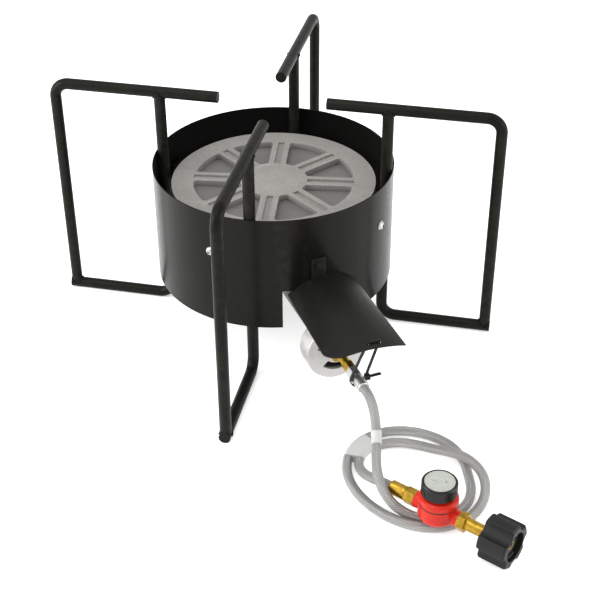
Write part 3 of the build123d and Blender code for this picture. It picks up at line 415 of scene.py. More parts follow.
def thread(name, start, direction, radius, depth, pitch, turns, inward=False):
    """A helical ridge of triangular section, from start along direction, with its sizes in millimetres."""
    deselect()
    bpy.ops.mesh.primitive_circle_add(vertices=3, radius=depth * MM, fill_type="NOTHING")
    piece = named(bpy.context.object, name)
    wide = THREAD_FLANK * pitch
    tip = radius - depth if inward else radius + depth
    for corner, place in zip(piece.data.vertices, [(tip, 0, 0), (radius, 0, wide), (radius, 0, -wide)]):
        corner.co = Vector(place) * MM
    screw = piece.modifiers.new("Thread", "SCREW")
    screw.axis = "Z"
    screw.angle = 2 * math.pi * turns
    screw.screw_offset = pitch * turns * MM
    screw.steps = THREAD_STEPS * turns
    screw.render_steps = screw.steps
    screw.use_merge_vertices = True
    applied(piece, screw)
    bpy.ops.object.mode_set(mode="EDIT")
    bpy.ops.mesh.select_all(action="SELECT")
    bpy.ops.mesh.remove_doubles(threshold=0.000005)
    bpy.ops.mesh.fill_holes(sides=0)
    bpy.ops.mesh.normals_make_consistent(inside=False)
    bpy.ops.object.mode_set(mode="OBJECT")
    turn = Vector((0, 0, 1)).rotation_difference(direction).to_matrix().to_4x4()
    piece.data.transform(Matrix.Translation(start) @ turn)
    smooth(piece, 30)
    return piece


# Finishes

def new_finish(name):
    """A new material, with its node tree and its shader."""
    material = bpy.data.materials.new(name)
    material.use_nodes = True
    tree = material.node_tree
    return material, tree, tree.nodes["Principled BSDF"]


def place_on(tree, scale=None):
    """The place in the object's own space, squeezed by scale if there is one."""
    place = tree.nodes.new("ShaderNodeTexCoord").outputs["Object"]
    if not scale:
        return place
    mapping = tree.nodes.new("ShaderNodeMapping")
    mapping.inputs["Scale"].default_value = scale
    tree.links.new(place, mapping.inputs["Vector"])
    return mapping.outputs["Vector"]


def grain(tree, size, detail=3.0, stretch=None):
    """Noise in the object's own space, with lumps about as wide as size."""
    noise = tree.nodes.new("ShaderNodeTexNoise")
    noise.inputs["Scale"].default_value = 1 / size
    noise.inputs["Detail"].default_value = detail
    noise.inputs["Roughness"].default_value = 0.55
    tree.links.new(place_on(tree, stretch), noise.inputs["Vector"])
    return noise.outputs["Fac"]


def between(tree, factor, low, high, start=0.3, end=0.7):
    """Turns a factor from start to end into a value from low to high."""
    spread = tree.nodes.new("ShaderNodeMapRange")
    spread.inputs["From Min"].default_value = start
    spread.inputs["From Max"].default_value = end
    spread.inputs["To Min"].default_value = low
    spread.inputs["To Max"].default_value = high
    tree.links.new(factor, spread.inputs["Value"])
    return spread.outputs["Result"]


def tinted(tree, factor, first, second):
    """A colour between two, by a factor."""
    mix = tree.nodes.new("ShaderNodeMix")
    mix.data_type = "RGBA"
    tree.links.new(factor, mix.inputs["Factor"])
    for socket, colour in ((mix.inputs[6], first), (mix.inputs[7], second)):
        if isinstance(colour, bpy.types.NodeSocket):
            tree.links.new(colour, socket)
        else:
            socket.default_value = (*colour, 1)
    return mix.outputs[2]


def shade(colour, share):
    """A colour made darker or lighter by a share."""
    return tuple(min(1.0, channel * share) for channel in colour)


def reckon(tree, operation, first, second=None):
    """One sum, with sockets or numbers."""
    step = tree.nodes.new("ShaderNodeMath")
    step.operation = operation
    for socket, value in zip(step.inputs, (first, second)):
        if isinstance(value, bpy.types.NodeSocket):
            tree.links.new(value, socket)
        elif value is not None:
            socket.default_value = value
    return step.outputs["Value"]


def relief(tree, shader, height, depth):
    """Fine relief from a height, depth metres deep."""
    bump = tree.nodes.new("ShaderNodeBump")
    bump.inputs["Distance"].default_value = depth
    bump.inputs["Strength"].default_value = 1.0
    tree.links.new(height, bump.inputs["Height"])
    tree.links.new(bump.outputs["Normal"], shader.inputs["Normal"])


def edge_wear(tree):
    """A factor that rises on a mesh's outer edges."""
    geometry = tree.nodes.new("ShaderNodeNewGeometry")
    return between(tree, geometry.outputs["Pointiness"], 0.0, 1.0, 0.52, 0.6)


def from_axis(tree):
    """The distance from the windscreen's upright axis."""
    length = tree.nodes.new("ShaderNodeVectorMath")
    length.operation = "LENGTH"
    tree.links.new(place_on(tree, (1, 1, 0)), length.inputs[0])
    return length.outputs["Value"]


def height_of(tree):
    """The height above the floor."""
    parts = tree.nodes.new("ShaderNodeSeparateXYZ")
    tree.links.new(place_on(tree), parts.inputs["Vector"])
    return parts.outputs["Z"]


def coat_layers(tree, colour, rough):
    """The coat's clouded colour, rubbed a little lighter along the edges, and its roughness."""
    cloud = grain(tree, 0.03, detail=4.0)
    coat = tinted(tree, cloud, shade(colour, 0.75), shade(colour, 1.3))
    rubbed = reckon(tree, "MULTIPLY", edge_wear(tree), between(tree, grain(tree, 0.009), 0.0, 0.6))
    worn = tinted(tree, rubbed, coat, shade(colour, 3.5))
    return worn, between(tree, grain(tree, 0.006), *rough)


def powder_coat(name, colour, gloss):
    """Black powder coat with a fine orange-peel relief."""
    material, tree, shader = new_finish(name)
    coat, roughness = coat_layers(tree, colour, rough=(0.3, 0.42))
    tree.links.new(coat, shader.inputs["Base Color"])
    tree.links.new(roughness, shader.inputs["Roughness"])
    relief(tree, shader, grain(tree, 0.0016, detail=2.0), 0.00006)
    shader.inputs["Specular IOR Level"].default_value = gloss
    shader.inputs["Specular Tint"].default_value = COAT_SHEEN
    return material


def screen_coat(colour):
    """The windscreen's coat, with its inner face painted near black as painted shade, and rougher there."""
    material, tree, shader = new_finish("screen_coat")
    coat, roughness = coat_layers(tree, colour, rough=(0.19, 0.28))
    outside = between(tree, from_axis(tree), 0.0, 1.0, INNER_SHADE_FROM_R * MM, INNER_SHADE_TO_R * MM)
    # Painted shade: inside the wall the coat's colour gives way to near black, standing in for the shade
    # inside the windscreen.
    tree.links.new(tinted(tree, outside, INNER_SHADE_COLOUR, coat), shader.inputs["Base Color"])
    dull = reckon(tree, "MULTIPLY", reckon(tree, "SUBTRACT", 1.0, outside), 0.65)
    tree.links.new(reckon(tree, "ADD", roughness, dull), shader.inputs["Roughness"])
    relief(tree, shader, grain(tree, 0.0016, detail=2.0), 0.00006)
    shader.inputs["Specular IOR Level"].default_value = 0.11
    shader.inputs["Specular Tint"].default_value = COAT_SHEEN
    return material


def burner_casting(name, colour, shaded_recesses):
    """Sandy cast metal, pitted and blotched, with the recesses painted darker as painted shade when asked."""
    material, tree, shader = new_finish(name)
    blotch = between(tree, grain(tree, 0.03, detail=4.0), 0.0, 1.0, 0.32, 0.68)
    body = tinted(tree, blotch, shade(colour, 0.86), shade(colour, 1.08))
    speck = between(tree, grain(tree, 0.0024), 0.0, 1.0, 0.36, 0.6)
    pitted = tinted(tree, speck, shade(colour, 0.8), body)
    ground = tinted(tree, reckon(tree, "MULTIPLY", edge_wear(tree), 0.5), pitted, shade(colour, 1.35))
    if shaded_recesses:
        # Painted shade: below the ribs' height the colour darkens to about half, darkest at the recess
        # floors.
        clear = between(tree, height_of(tree), 0.0, 1.0, RECESS_Z * MM, RIB_Z * MM)
        ground = tinted(tree, clear, shade(colour, 0.52), ground)
    tree.links.new(ground, shader.inputs["Base Color"])
    tree.links.new(between(tree, grain(tree, 0.008), 0.6, 0.78), shader.inputs["Roughness"])
    shader.inputs["Specular IOR Level"].default_value = 0.35
    lumps = reckon(tree, "MULTIPLY", grain(tree, 0.006, detail=2.0), 1.5)
    relief(tree, shader, reckon(tree, "ADD", grain(tree, 0.0012), lumps), 0.00012)
    return material


def bright_metal(name, colour, rough, size):
    """Bare metal with a haze whose clouds are about as wide as size."""
    material, tree, shader = new_finish(name)
    haze = grain(tree, size, detail=4.0)
    tree.links.new(tinted(tree, haze, shade(colour, 0.78), shade(colour, 1.1)), shader.inputs["Base Color"])
    shader.inputs["Metallic"].default_value = 0.92
    tree.links.new(between(tree, haze, *rough), shader.inputs["Roughness"])
    relief(tree, shader, grain(tree, size / 6, detail=2.0), 0.00003)
    return material


def brass(colour):
    """Brass with patches of brown tarnish."""
    material, tree, shader = new_finish("brass")
    tarnish = between(tree, grain(tree, 0.006, detail=5.0), 0.0, 1.0, 0.35, 0.7)
    brown = (colour[0] * 0.62, colour[1] * 0.55, colour[2] * 0.7)
    tree.links.new(tinted(tree, tarnish, shade(colour, 1.05), brown), shader.inputs["Base Color"])
    shader.inputs["Metallic"].default_value = 1.0
    tree.links.new(between(tree, grain(tree, 0.003), 0.2, 0.38), shader.inputs["Roughness"])
    relief(tree, shader, grain(tree, 0.0006, detail=2.0), 0.00002)
    return material


def enamel(colour):
    """Thick glossy paint on a casting."""
    material, tree, shader = new_finish("red_enamel")
    cloud = grain(tree, 0.012)
    tree.links.new(tinted(tree, cloud, shade(colour, 0.86), shade(colour, 1.12)), shader.inputs["Base Color"])
    tree.links.new(between(tree, grain(tree, 0.004), 0.22, 0.34), shader.inputs["Roughness"])
    relief(tree, shader, grain(tree, 0.0022, detail=2.0), 0.00006)
    shader.inputs["Specular IOR Level"].default_value = 0.2
    shader.inputs["Coat Weight"].default_value = 0.08
    shader.inputs["Coat Roughness"].default_value = 0.1
    return material


def moulded(name, colour, rough):
    """Moulded plastic or rubber with a fine grain."""
    material, tree, shader = new_finish(name)
    cloud = grain(tree, 0.009)
    tree.links.new(tinted(tree, cloud, shade(colour, 0.8), shade(colour, 1.25)), shader.inputs["Base Color"])
    tree.links.new(between(tree, grain(tree, 0.003), *rough), shader.inputs["Roughness"])
    relief(tree, shader, grain(tree, 0.0007, detail=2.0), 0.00004)
    shader.inputs["Specular IOR Level"].default_value = 0.25
    return material


def tape(colour):
    """White tape, creased along its winding, and painted a little darker in the creases' hollows as painted
    shade.
    """
    material, tree, shader = new_finish("white_tape")
    crease = grain(tree, 0.003, stretch=(1, 1, 3))
    # Painted shade: the colour is a little darker where the crease relief is low.
    tree.links.new(tinted(tree, crease, shade(colour, 0.9), shade(colour, 1.04)), shader.inputs["Base Color"])
    tree.links.new(between(tree, crease, 0.42, 0.6), shader.inputs["Roughness"])
    relief(tree, shader, crease, 0.0003)
    return material


def braid(colour, strands):
    """Woven wire on the hose: two sets of slanting strands that pass over and under each other, with painted
    shade in the dips between the strands.
    """
    material, tree, shader = new_finish("steel_braid")
    spot = tree.nodes.new("ShaderNodeUVMap")
    parts = tree.nodes.new("ShaderNodeSeparateXYZ")
    tree.links.new(spot.outputs["UV"], parts.inputs["Vector"])
    round_way, along = parts.outputs["X"], parts.outputs["Y"]
    sloping = []
    for sign in ("ADD", "SUBTRACT"):
        sloping.append(reckon(tree, "MULTIPLY", reckon(tree, sign, round_way, along), float(strands)))
    cells = reckon(tree, "ADD", reckon(tree, "FLOOR", sloping[0]), reckon(tree, "FLOOR", sloping[1]))
    over = reckon(tree, "ABSOLUTE", reckon(tree, "MODULO", cells, 2.0))
    under = reckon(tree, "SUBTRACT", 1.0, over)

    def arches(count):
        """The upper set's arches, count of them to a strand."""
        rises = []
        for slope in sloping:
            wave = reckon(tree, "SINE", reckon(tree, "MULTIPLY", slope, count * math.pi))
            rises.append(reckon(tree, "ABSOLUTE", wave))
        first = reckon(tree, "MULTIPLY", rises[0], over)
        return reckon(tree, "ADD", first, reckon(tree, "MULTIPLY", rises[1], under))

    bundles = reckon(tree, "MULTIPLY", arches(1), 0.75)
    woven = reckon(tree, "ADD", bundles, reckon(tree, "MULTIPLY", arches(5), 0.25))
    # Painted shade: the colour falls to near black where the weave dips between strands.
    lit = between(tree, woven, 0.0, 1.0, 0.12, 0.8)
    tree.links.new(tinted(tree, lit, shade(colour, 0.06), shade(colour, 0.66)), shader.inputs["Base Color"])
    shader.inputs["Metallic"].default_value = 0.85
    tree.links.new(between(tree, grain(tree, 0.004), 0.3, 0.45), shader.inputs["Roughness"])
    relief(tree, shader, woven, 0.0007)
    return material


FINISHES = {}


class COOKER_OT_finishes(Operator):
    """Mixes the cooker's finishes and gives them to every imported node"""
    bl_idname = "cooker.finishes"
    bl_label = "Finishes"

    def execute(self, context):
        colours = context.scene.cooker_finishes
        coat, steel, plastic = colours.coat_colour, colours.steel_colour, colours.plastic_colour
        bright = shade(steel, 0.8)
        FINISHES.update({
            "powder_coat": powder_coat("powder_coat", coat, gloss=0.21),
            "leg_coat": powder_coat("leg_coat", coat, gloss=0.08),
            "zinc_steel": bright_metal("zinc_steel", shade(steel, 0.75), rough=(0.25, 0.42), size=0.003),
            "bright_steel": bright_metal("bright_steel", bright, rough=(0.18, 0.32), size=0.003),
            # Painted shade: the windscreen's coat is the powder coat made darker by 0.7.
            "screen_coat": screen_coat(shade(coat, 0.7)),
            "burner_casting": burner_casting("burner_casting", colours.casting_colour, shaded_recesses=False),
            "burner_top": burner_casting("burner_top", colours.casting_colour, shaded_recesses=True),
            "shutter_casting": bright_metal("shutter_casting", bright, rough=(0.28, 0.45), size=0.005),
            "brass": brass(colours.brass_colour),
            "steel_braid": braid(steel, context.scene.cooker_sizes.braid_strands),
            "white_tape": tape(colours.white_colour),
            "black_nylon": moulded("black_nylon", plastic, rough=(0.4, 0.55)),
            "red_enamel": enamel(colours.enamel_colour),
            "black_knob": moulded("black_knob", plastic, rough=(0.28, 0.42)),
            "white_face": moulded("white_face", colours.face_colour, rough=(0.3, 0.42)),
            "black_nut": moulded("black_nut", plastic, rough=(0.42, 0.6)),
            "face_print": moulded("face_print", colours.print_colour, rough=(0.4, 0.55)),
            "seal_rubber": moulded("seal_rubber", colours.rubber_colour, rough=(0.6, 0.75)),
        })
        for part in frame["record"]["subparts"]:
            node = frame["nodes"][part["node"]]
            node.data.materials.clear()
            finish = "leg_coat" if part["node"].startswith("leg_") else part["material_slot"]
            node.data.materials.append(FINISHES[finish])
        return {"FINISHED"}


class COOKER_OT_stage(Operator):
    """Sets the pale floor, the soft light and the camera"""
    bl_idname = "cooker.stage"
    bl_label = "Stage"

    def execute(self, context):
        studio = context.scene.cooker_studio
        self.floor(studio)
        self.lights(context, studio)
        self.camera(context, studio)
        context.scene.view_settings.view_transform = "Standard"
        return {"FINISHED"}

    def floor(self, studio):
        """A wide pale floor that glows a little."""
        deselect()
        bpy.ops.mesh.primitive_plane_add(size=FLOOR_SIZE)
        floor = named(bpy.context.object, "studio_floor")
        bpy.ops.object.mode_set(mode="EDIT")
        bpy.ops.mesh.subdivide(number_cuts=6)
        bpy.ops.object.mode_set(mode="OBJECT")
        material, tree, shader = new_finish("studio_floor")
        pale = studio.floor_colour
        clouded = tinted(tree, grain(tree, 0.8, detail=2.0), pale, shade(pale, 1.01))
        tree.links.new(clouded, shader.inputs["Base Color"])
        shader.inputs["Roughness"].default_value = 0.9
        shader.inputs["Specular IOR Level"].default_value = 0.1
        shader.inputs["Emission Color"].default_value = (1, 1, 1, 1)
        shader.inputs["Emission Strength"].default_value = studio.floor_glow
        floor.data.materials.append(material)

    def lights(self, context, studio):
        """An even sky, a key light above and two lower lights at the sides."""
        world = bpy.data.worlds.new("studio_sky")
        world.use_nodes = True
        sky = world.node_tree.nodes["Background"]
        sky.inputs["Color"].default_value = (1, 1, 1, 1)
        sky.inputs["Strength"].default_value = studio.sky_strength
        context.scene.world = world
        for light in LIGHTS:
            lamp = bpy.data.lights.new(light["name"], "AREA")
            lamp.energy = studio.key_power * light["share"]
            lamp.size = light["size"]
            holder = linked(light["name"], lamp)
            holder.location = light["place"]
            aim = Vector(LIGHT_TARGET) - Vector(light["place"])
            holder.rotation_euler = aim.to_track_quat("-Z", "Y").to_euler()

    def camera(self, context, studio):
        """The photograph's viewpoint, with its slight roll."""
        azimuth, elevation, roll = (math.radians(a) for a in (VIEW_AZIMUTH, VIEW_ELEVATION, VIEW_ROLL))
        level = Vector((math.sin(azimuth), -math.cos(azimuth), 0))
        back = level * math.cos(elevation) + Vector((0, 0, math.sin(elevation)))
        right = (-back).cross(Vector((0, 0, 1))).normalized()
        up = right.cross(-back)
        side = right * math.cos(roll) + up * math.sin(roll)
        top = up * math.cos(roll) - right * math.sin(roll)
        lens = bpy.data.cameras.new("photo_camera")
        lens.lens = studio.lens
        lens.sensor_width = SENSOR_WIDTH
        lens.sensor_fit = "HORIZONTAL"
        camera = linked("photo_camera", lens)
        turn = Matrix((side, top, back)).transposed().to_4x4()
        camera.matrix_world = Matrix.Translation(Vector(VIEW_TARGET) + back * VIEW_DISTANCE) @ turn
        context.scene.camera = camera


class COOKER_OT_legs(Operator):
    """Lays the weld beads between the legs' rods, and where they meet the windscreen"""
    bl_idname = "cooker.legs"
    bl_label = "Leg welds"

    def execute(self, context):
        radius = context.scene.cooker_sizes.weld_radius
        for side, azimuth in LEG_AZIMUTHS.items():
            beads = [self.saddle(radius, UPRIGHT_R, LEG_TOP_Z, -1), self.saddle(radius, LEG_REACH, ROD_R, 1)]
            for height in FILLET_HEIGHTS:
                for lateral in (-1, 1):
                    beads.append(self.fillet(radius, lateral, height))
            welds = joined(beads, f"leg_welds_{side}")
            welds.data.transform(Matrix.Rotation(math.radians(azimuth), 4, "Z"))
            smooth(welds, 60)
            finish_piece(welds, FINISHES["leg_coat"], "stand", "powder_coat")
        return {"FINISHED"}

    def saddle(self, radius, reach, height, side):
        """A bead round an upright where it meets a bar of its own size."""
        deselect()
        bpy.ops.mesh.primitive_torus_add(
            major_radius=SADDLE_R * MM, minor_radius=radius, major_segments=64, minor_segments=10)
        bead = bpy.context.object
        for corner in bead.data.vertices:
            turn = math.atan2(corner.co.y, corner.co.x)
            ripple = 1 + SADDLE_RIPPLE * math.sin(SADDLE_RIPPLES * turn)
            ring = Vector((math.cos(turn), math.sin(turn), 0)) * SADDLE_R * MM
            corner.co = ring + (corner.co - ring) * ripple
            corner.co.z += (height + side * ROD_R * abs(math.cos(turn))) * MM
            corner.co.x = min(corner.co.x + reach * MM, SADDLE_LIMIT * MM)
            corner.co.y += LEG_SHIFT * MM
        return bead

    def fillet(self, radius, lateral, height):
        """A short bead in the corner between an upright and the windscreen's inner face."""
        deselect()
        bpy.ops.mesh.primitive_uv_sphere_add(segments=16, ring_count=24, radius=1)
        bead = bpy.context.object
        for corner in bead.data.vertices:
            ripple = 1 + FILLET_RIPPLE * math.sin(corner.co.z * FILLET_RIPPLES)
            corner.co.x *= ripple * radius
            corner.co.y *= ripple * radius
            corner.co.z *= FILLET_HALF_LENGTH * MM
        across = LEG_SHIFT + lateral * FILLET_SIDEWAYS
        depth = math.sqrt(FILLET_R**2 - across**2)
        bead.data.transform(Matrix.Translation(Vector((depth, across, height)) * MM))
        return bead


class COOKER_OT_windscreen(Operator):
    """Rounds the windscreen's edges and its brackets, and cuts its bolts' sockets"""
    bl_idname = "cooker.windscreen"
    bl_label = "Windscreen"

    def execute(self, context):
        edge = context.scene.cooker_sizes.sheet_edge
        rounded("windscreen", edge, finish="screen_coat", angle=50)
        bolts = copied("windscreen_bolts")
        self.sockets(bolts)
        rounded("windscreen_bolts", edge / 2, angle=60, piece=bolts)
        for k in range(1, BOLT_COUNT + 1):
            rounded(f"burner_bracket_{k}", edge)
        return {"FINISHED"}

    def sockets(self, bolts):
        """Cuts a hexagon socket in each bolt's domed head."""
        low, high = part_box("windscreen_bolts")
        height = Vector((0, 0, (low[2] + high[2]) / 2))
        cutters = []
        for k in range(BOLT_COUNT):
            out = heading(BRACKET_AZIMUTH + 360 / BOLT_COUNT * k)
            deselect()
            bpy.ops.mesh.primitive_cylinder_add(
                vertices=6, radius=BOLT_SOCKET_R * MM, depth=BOLT_SOCKET_CUT * MM)
            cutter = bpy.context.object
            lie = out.to_track_quat("Z", "Y").to_matrix().to_4x4()
            cutter.data.transform(Matrix.Translation(out * BOLT_TIP_R * MM + height) @ lie)
            cutters.append(cutter)
        tool = joined(cutters, "bolt_sockets")
        cut = bolts.modifiers.new("Sockets", "BOOLEAN")
        cut.operation = "DIFFERENCE"
        cut.object = tool
        applied(bolts, cut)
        bpy.data.objects.remove(tool)
        clean(bolts)


class COOKER_OT_burner(Operator):
    """Gives the cast burner and its bowl soft cast edges"""
    bl_idname = "cooker.burner"
    bl_label = "Burner"

    def execute(self, context):
        edge = context.scene.cooker_sizes.casting_edge
        rounded("burner_head", edge, finish="burner_top")
        rounded("burner_base", edge)
        return {"FINISHED"}


class COOKER_OT_venturi(Operator):
    """Rounds the air shutter and the fittings up to the hose, and lays the nipple's thread"""
    bl_idname = "cooker.venturi"
    bl_label = "Shutter and fittings"

    def execute(self, context):
        rounded("air_shutter", EDGES["air_shutter"] * MM)
        for node in ("shutter_lock_nut", "hose_adapter", "hose_swivel_nut", "hose_ferrule_burner"):
            rounded(node, context.scene.cooker_sizes.fitting_edge)
        start = venturi_point(NIPPLE_THREAD_START)
        ridge = thread("nipple_thread", start, heading(VENTURI_AZIMUTH), **NIPPLE_THREAD)
        finish_piece(ridge, FINISHES["brass"], "stand", "brass")
        return {"FINISHED"}


class COOKER_OT_shield(Operator):
    """Rounds the heat shield and the cable tie"""
    bl_idname = "cooker.shield"
    bl_label = "Heat shield"

    def execute(self, context):
        rounded("heat_shield", context.scene.cooker_sizes.sheet_edge, angle=50)
        rounded("cable_tie", EDGES["cable_tie"] * MM)
        return {"FINISHED"}


class COOKER_OT_regulator(Operator):
    """Rounds the regulator and its knob, puts in copies of its spring and diaphragm, and prints the knob's
    marks
    """
    bl_idname = "cooker.regulator"
    bl_label = "Regulator"

    def execute(self, context):
        edge = context.scene.cooker_sizes.fitting_edge
        for node in ("regulator_body", "regulator_bonnet"):
            rounded(node, EDGES[node] * MM, steps=3)
        rounded("regulator_knob", edge)
        rounded("knob_face", EDGES["knob_face"] * MM)
        for node in ("hose_nut_regulator", "hose_ferrule_regulator", "inlet_nipple"):
            rounded(node, edge)
        self.giving("regulator_spring", "button_travel")
        self.giving("diaphragm", "valve_lift")
        self.dial()
        return {"FINISHED"}

    def giving(self, node, joint):
        """A copy of a springy piece, with its finish and a mesh of its own. The joint is not used."""
        low, high = (Vector(corner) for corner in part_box(node))
        piece = copied(node)
        smooth(piece)
        finish_piece(piece, FINISHES[slot_of(node)], "stand", slot_of(node), node)
        foot = (low + high) / 2
        foot.z = low.z
        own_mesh(piece)

    def dial(self):
        """Ticks round the knob's face, with a plus and a minus."""
        low, high = (Vector(corner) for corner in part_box("knob_face"))
        middle = (low + high) / 2
        middle.z = high.z
        reach = (high.x - low.x) / 2
        marks = []
        for k in range(TICKS):
            length = SHORT_TICK if k % TICKS_PER_LONG else LONG_TICK
            place = reach - (TICK_INSET + length / 2) * MM
            marks.append(self.mark(middle, 360 / TICKS * k, place, length, TICK_WIDTH))
        for side in (-1, 1):
            marks.append(self.mark(middle, 0.0, side * reach * SIGN_PLACE, SIGN_LENGTH, SIGN_WIDTH))
        plus = middle + Vector((reach * SIGN_PLACE, 0, 0))
        marks.append(self.mark(plus, 90.0, 0.0, SIGN_LENGTH, SIGN_WIDTH))
        finish_piece(joined(marks, "knob_marks"), FINISHES["face_print"], "knob", "black_knob")

    def mark(self, middle, azimuth, reach, length, width):
        """A printed stroke, at a distance from a middle and in line with it."""
        deselect()
        bpy.ops.mesh.primitive_cube_add(size=1)
        stroke = bpy.context.object
        size = Matrix.Diagonal((length * MM, width * MM, INK_HEIGHT * MM, 1))
        turn = Matrix.Rotation(math.radians(azimuth), 4, "Z")
        stroke.data.transform(Matrix.Translation(middle) @ turn @ Matrix.Translation((reach, 0, 0)) @ size)
        bevel = stroke.modifiers.new("Ink edge", "BEVEL")
        bevel.width = INK_EDGE * MM
        applied(stroke, bevel)
        return stroke


class COOKER_OT_hand_nut(Operator):
    """Rounds the hand nut and lays the thread in its socket"""
    bl_idname = "cooker.hand_nut"
    bl_label = "Hand nut"

    def execute(self, context):
        rounded("hand_nut", EDGES["hand_nut"] * MM, steps=3)
        start = regulator_point(HAND_NUT_THREAD_START)
        ridge = thread("hand_nut_thread", start, heading(REG_AZIMUTH), **HAND_NUT_THREAD)
        finish_piece(ridge, FINISHES["black_nut"], "hand_nut", "black_nut")
        return {"FINISHED"}


# The hose's line and its tubes

def eased(share):
    """A share from 0 to 1 that starts and ends gently."""
    share = min(1.0, max(0.0, share))
    return share * share * (3 - 2 * share)


def coil_point(angle):
    """A point of the hose's coil: two loose passes that cross once, the second over the first."""
    second = angle > COIL_CROSSING + 180
    turn = angle - COIL_CROSSING - (360 if second else 0)
    swap = eased(turn / COIL_SWAP_SPAN + 0.5)
    inward = swap if second else 1 - swap
    facing_back = (1 + math.cos(math.radians(angle - COIL_BACK_AZIMUTH))) / 2
    step = COIL_STRAND_STEP + COIL_BACK_SPREAD * facing_back**2
    oval = COIL_OVAL * math.cos(math.radians(2 * (angle - COIL_OVAL_AZIMUTH)))
    height = COIL_Z + (COIL_HUMP * eased(1 - 2 * abs(turn) / COIL_HUMP_SPAN) if second else 0)
    return (Vector((*COIL_CENTRE, height)) + heading(angle) * (COIL_OUTER_R + oval - step * inward)) * MM


def hose_route():
    """The hose's points from the burner's ferrule to the regulator's."""
    lead = [venturi_point(radius) for radius in LEAD_START] + [Vector(p) * MM for p in LEAD_POINTS]
    steps = round((COIL_END - COIL_START) / COIL_STEP)
    coil = [coil_point(COIL_START + COIL_STEP * k) for k in range(steps + 1)]
    onward = (coil_point(COIL_END) - coil_point(COIL_END - 1)).normalized()
    tail = [coil[-1] + onward * TAIL_OUT * MM] + [Vector(p) * MM for p in TAIL_POINTS]
    return lead + coil + tail + [regulator_point(along) for along in TAIL_END]


def smooth_line(route):
    """The line of a NURBS spline whose control points are the route."""
    curve = bpy.data.curves.new("hose_line", "CURVE")
    curve.dimensions = "3D"
    curve.resolution_u = 10
    spline = curve.splines.new("NURBS")
    spline.points.add(len(route) - 1)
    for knot, place in zip(spline.points, route):
        knot.co = (*place, 1)
    spline.order_u = 3
    spline.use_endpoint_u = True
    holder = linked("hose_line", curve)
    bpy.context.view_layer.update()
    mesh = bpy.data.meshes.new_from_object(holder.evaluated_get(bpy.context.evaluated_depsgraph_get()))
    line = [corner.co.copy() for corner in mesh.vertices]
    bpy.data.objects.remove(holder)
    bpy.data.curves.remove(curve)
    bpy.data.meshes.remove(mesh)
    return line


def ways_along(line):
    """Directions along a line, and a side direction that turns as little as it can."""
    ways = []
    for k in range(len(line)):
        ways.append((line[min(k + 1, len(line) - 1)] - line[max(k - 1, 0)]).normalized())
    side = ways[0].orthogonal().normalized()
    sides = [side]
    for before, after in zip(ways, ways[1:]):
        side = before.rotation_difference(after) @ side
        side = (side - after * side.dot(after)).normalized()
        sides.append(side)
    return ways, sides


def ringed(name, rings):
    """A closed skin over rings of corners, all with the same count."""
    count = len(rings[0])
    corners = [corner for ring in rings for corner in ring]
    faces = []
    for row in range(0, len(corners) - count, count):
        for k in range(count):
            after = (k + 1) % count
            faces.append((row + k, row + after, row + count + after, row + count + k))
    faces.append(tuple(reversed(range(count))))
    faces.append(tuple(range(len(corners) - count, len(corners))))
    mesh = bpy.data.meshes.new(name)
    mesh.from_pydata(corners, [], faces)
    return linked(name, mesh)


def tube(name, line, radii, count):
    """A round tube along a line, with a UV map that goes round it and along it."""
    ways, sides = ways_along(line)
    rings = []
    for place, way, side, radius in zip(line, ways, sides, radii):
        turns = [Quaternion(way, 2 * math.pi * k / count) for k in range(count)]
        rings.append([place + (turn @ side) * radius for turn in turns])
    piece = ringed(name, rings)
    girth = 2 * math.pi * radii[0]
    along = [0.0]
    for before, after in zip(line, line[1:]):
        along.append(along[-1] + (after - before).length / girth)
    spots = []
    for start, end in zip(along, along[1:]):
        for k in range(count):
            left, right = k / count, (k + 1) / count
            spots += [(left, start), (right, start), (right, end), (left, end)]
    layer = piece.data.uv_layers.new(name="weave")
    for loop, spot in zip(layer.data, spots):
        loop.uv = spot
    smooth(piece, 50)
    return piece


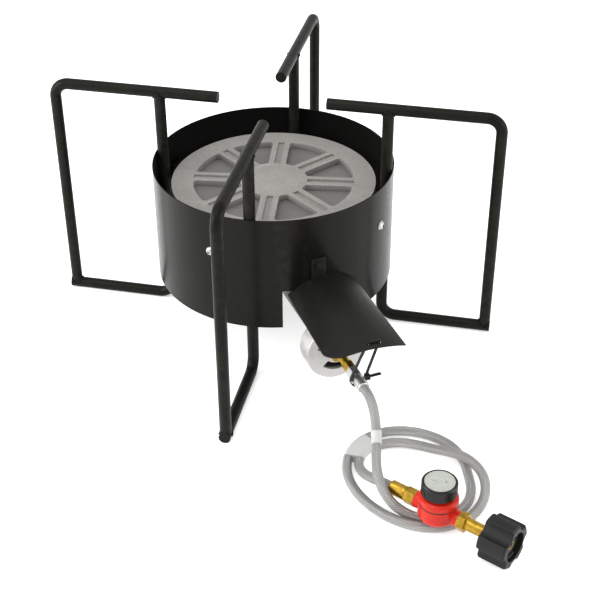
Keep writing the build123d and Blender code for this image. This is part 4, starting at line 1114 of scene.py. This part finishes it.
class COOKER_OT_hose(Operator):
    """Lays the braided hose with its two wraps of tape"""
    bl_idname = "cooker.hose"
    bl_label = "Gas hose"

    def execute(self, context):
        sizes = context.scene.cooker_sizes
        line = smooth_line(hose_route())
        hose = tube("gas_hose", line, [sizes.hose_diameter / 2] * len(line), HOSE_SIDES)
        nodes = ("hose_lead", "hose_coil", "hose_tail")
        finish_piece(hose, FINISHES["steel_braid"], "stand", "steel_braid", *nodes)
        taped = sizes.hose_diameter / 2 + sizes.tape_thickness
        bands = [self.lead_band(taped, line), self.coil_band(taped, line)]
        return {"FINISHED"}

    def inside(self, node, line):
        """Which of the line's points lie in a node's box."""
        low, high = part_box(node)
        return [k for k, p in enumerate(line) if all(low[a] <= p[a] <= high[a] for a in range(3))]

    def lead_band(self, taped, line):
        """Tape wound round the stretch that comes down from the burner."""
        found = self.inside("hose_band_lead", line)
        stretch = line[found[0]:found[-1] + 1]
        creases = [TAPE_CREASE * math.sin(TAPE_CREASE_STEP * k) for k in range(len(stretch))]
        radii = [taped * (1 + crease) for crease in creases]
        band = tube("tape_lead", stretch, radii, BAND_SIDES)
        return finish_piece(band, FINISHES["white_tape"], "stand", "white_tape", "hose_band_lead")

    def coil_band(self, taped, line):
        """Tape wound round the coil's left strand and the one beside it."""
        found = self.inside("hose_band_coil", line)
        split = next(k for k in range(1, len(found)) if found[k] > found[k - 1] + STRAND_BREAK)
        near = found[split // 2]
        beside = line[found[split] - BESIDE_BACK:]
        rings = [self.wrap(taped, line, k, beside) for k in range(near - WRAP_BACK, near + WRAP_ON)]
        band = ringed("tape_coil", rings)
        clean(band)
        smooth(band, 50)
        return finish_piece(band, FINISHES["white_tape"], "stand", "white_tape", "hose_band_coil")

    def wrap(self, taped, line, k, beside):
        """One turn of tape round two strands, a little creased, and drawn in between them."""
        way = (line[k + 1] - line[k - 1]).normalized()
        across = min((place - line[k] for place in beside), key=lambda gap: gap.length)
        across -= way * across.dot(way)
        half = across.length / 2
        across.normalize()
        up = way.cross(across)
        ring = []
        for n in range(WRAP_SIDES):
            turn = 2 * math.pi * n / WRAP_SIDES
            swell = taped * (1 + TAPE_CREASE * math.sin(TAPE_FOLDS * turn + TAPE_CREASE_STEP * k))
            share = math.tanh(TAPE_FLATNESS * math.cos(turn)) / math.tanh(TAPE_FLATNESS)
            rise = swell * math.sin(turn) * (1 - TAPE_DRAWN_IN * (1 - share * share))
            corner = line[k] + across * (half + share * half + swell * math.cos(turn)) + up * rise
            corner.z = max(corner.z, FLOOR_CLEARANCE * MM)
            ring.append(corner)
        return ring


class COOKER_PT_panel(Panel):
    """Lists the cooker's steps and settings"""
    bl_idname = "COOKER_PT_panel"
    bl_label = "Gas cooker"
    bl_space_type = "VIEW_3D"
    bl_region_type = "UI"
    bl_category = "Cooker"

    def draw(self, context):
        for step in STEPS:
            self.layout.operator(step.bl_idname)
        for name, settings in SETTINGS.items():
            for field in settings.__annotations__:
                self.layout.prop(getattr(context.scene, name), field)


SETTINGS = {"cooker_finishes": CookerFinishes, "cooker_sizes": CookerSizes, "cooker_studio": CookerStudio}
STEPS = (COOKER_OT_finishes, COOKER_OT_stage, COOKER_OT_legs, COOKER_OT_windscreen, COOKER_OT_burner,
         COOKER_OT_venturi, COOKER_OT_shield, COOKER_OT_regulator, COOKER_OT_hand_nut, COOKER_OT_hose)


def register():
    """Adds the settings, the steps and the panel to Blender."""
    for name, settings in SETTINGS.items():
        bpy.utils.register_class(settings)
        setattr(bpy.types.Scene, name, PointerProperty(type=settings))
    for step in STEPS:
        bpy.utils.register_class(step)
    bpy.utils.register_class(COOKER_PT_panel)


def unregister():
    """Takes them out again."""
    bpy.utils.unregister_class(COOKER_PT_panel)
    for step in reversed(STEPS):
        bpy.utils.unregister_class(step)
    for name, settings in SETTINGS.items():
        delattr(bpy.types.Scene, name)
        bpy.utils.unregister_class(settings)


def main():
    """Builds the cooker step by step."""
    register()
    bpy.ops.cooker.finishes()
    bpy.ops.cooker.stage()
    bpy.ops.cooker.legs()
    bpy.ops.cooker.windscreen()
    bpy.ops.cooker.burner()
    bpy.ops.cooker.venturi()
    bpy.ops.cooker.shield()
    bpy.ops.cooker.regulator()
    bpy.ops.cooker.hand_nut()
    bpy.ops.cooker.hose()


if __name__ == "__main__":
    main()
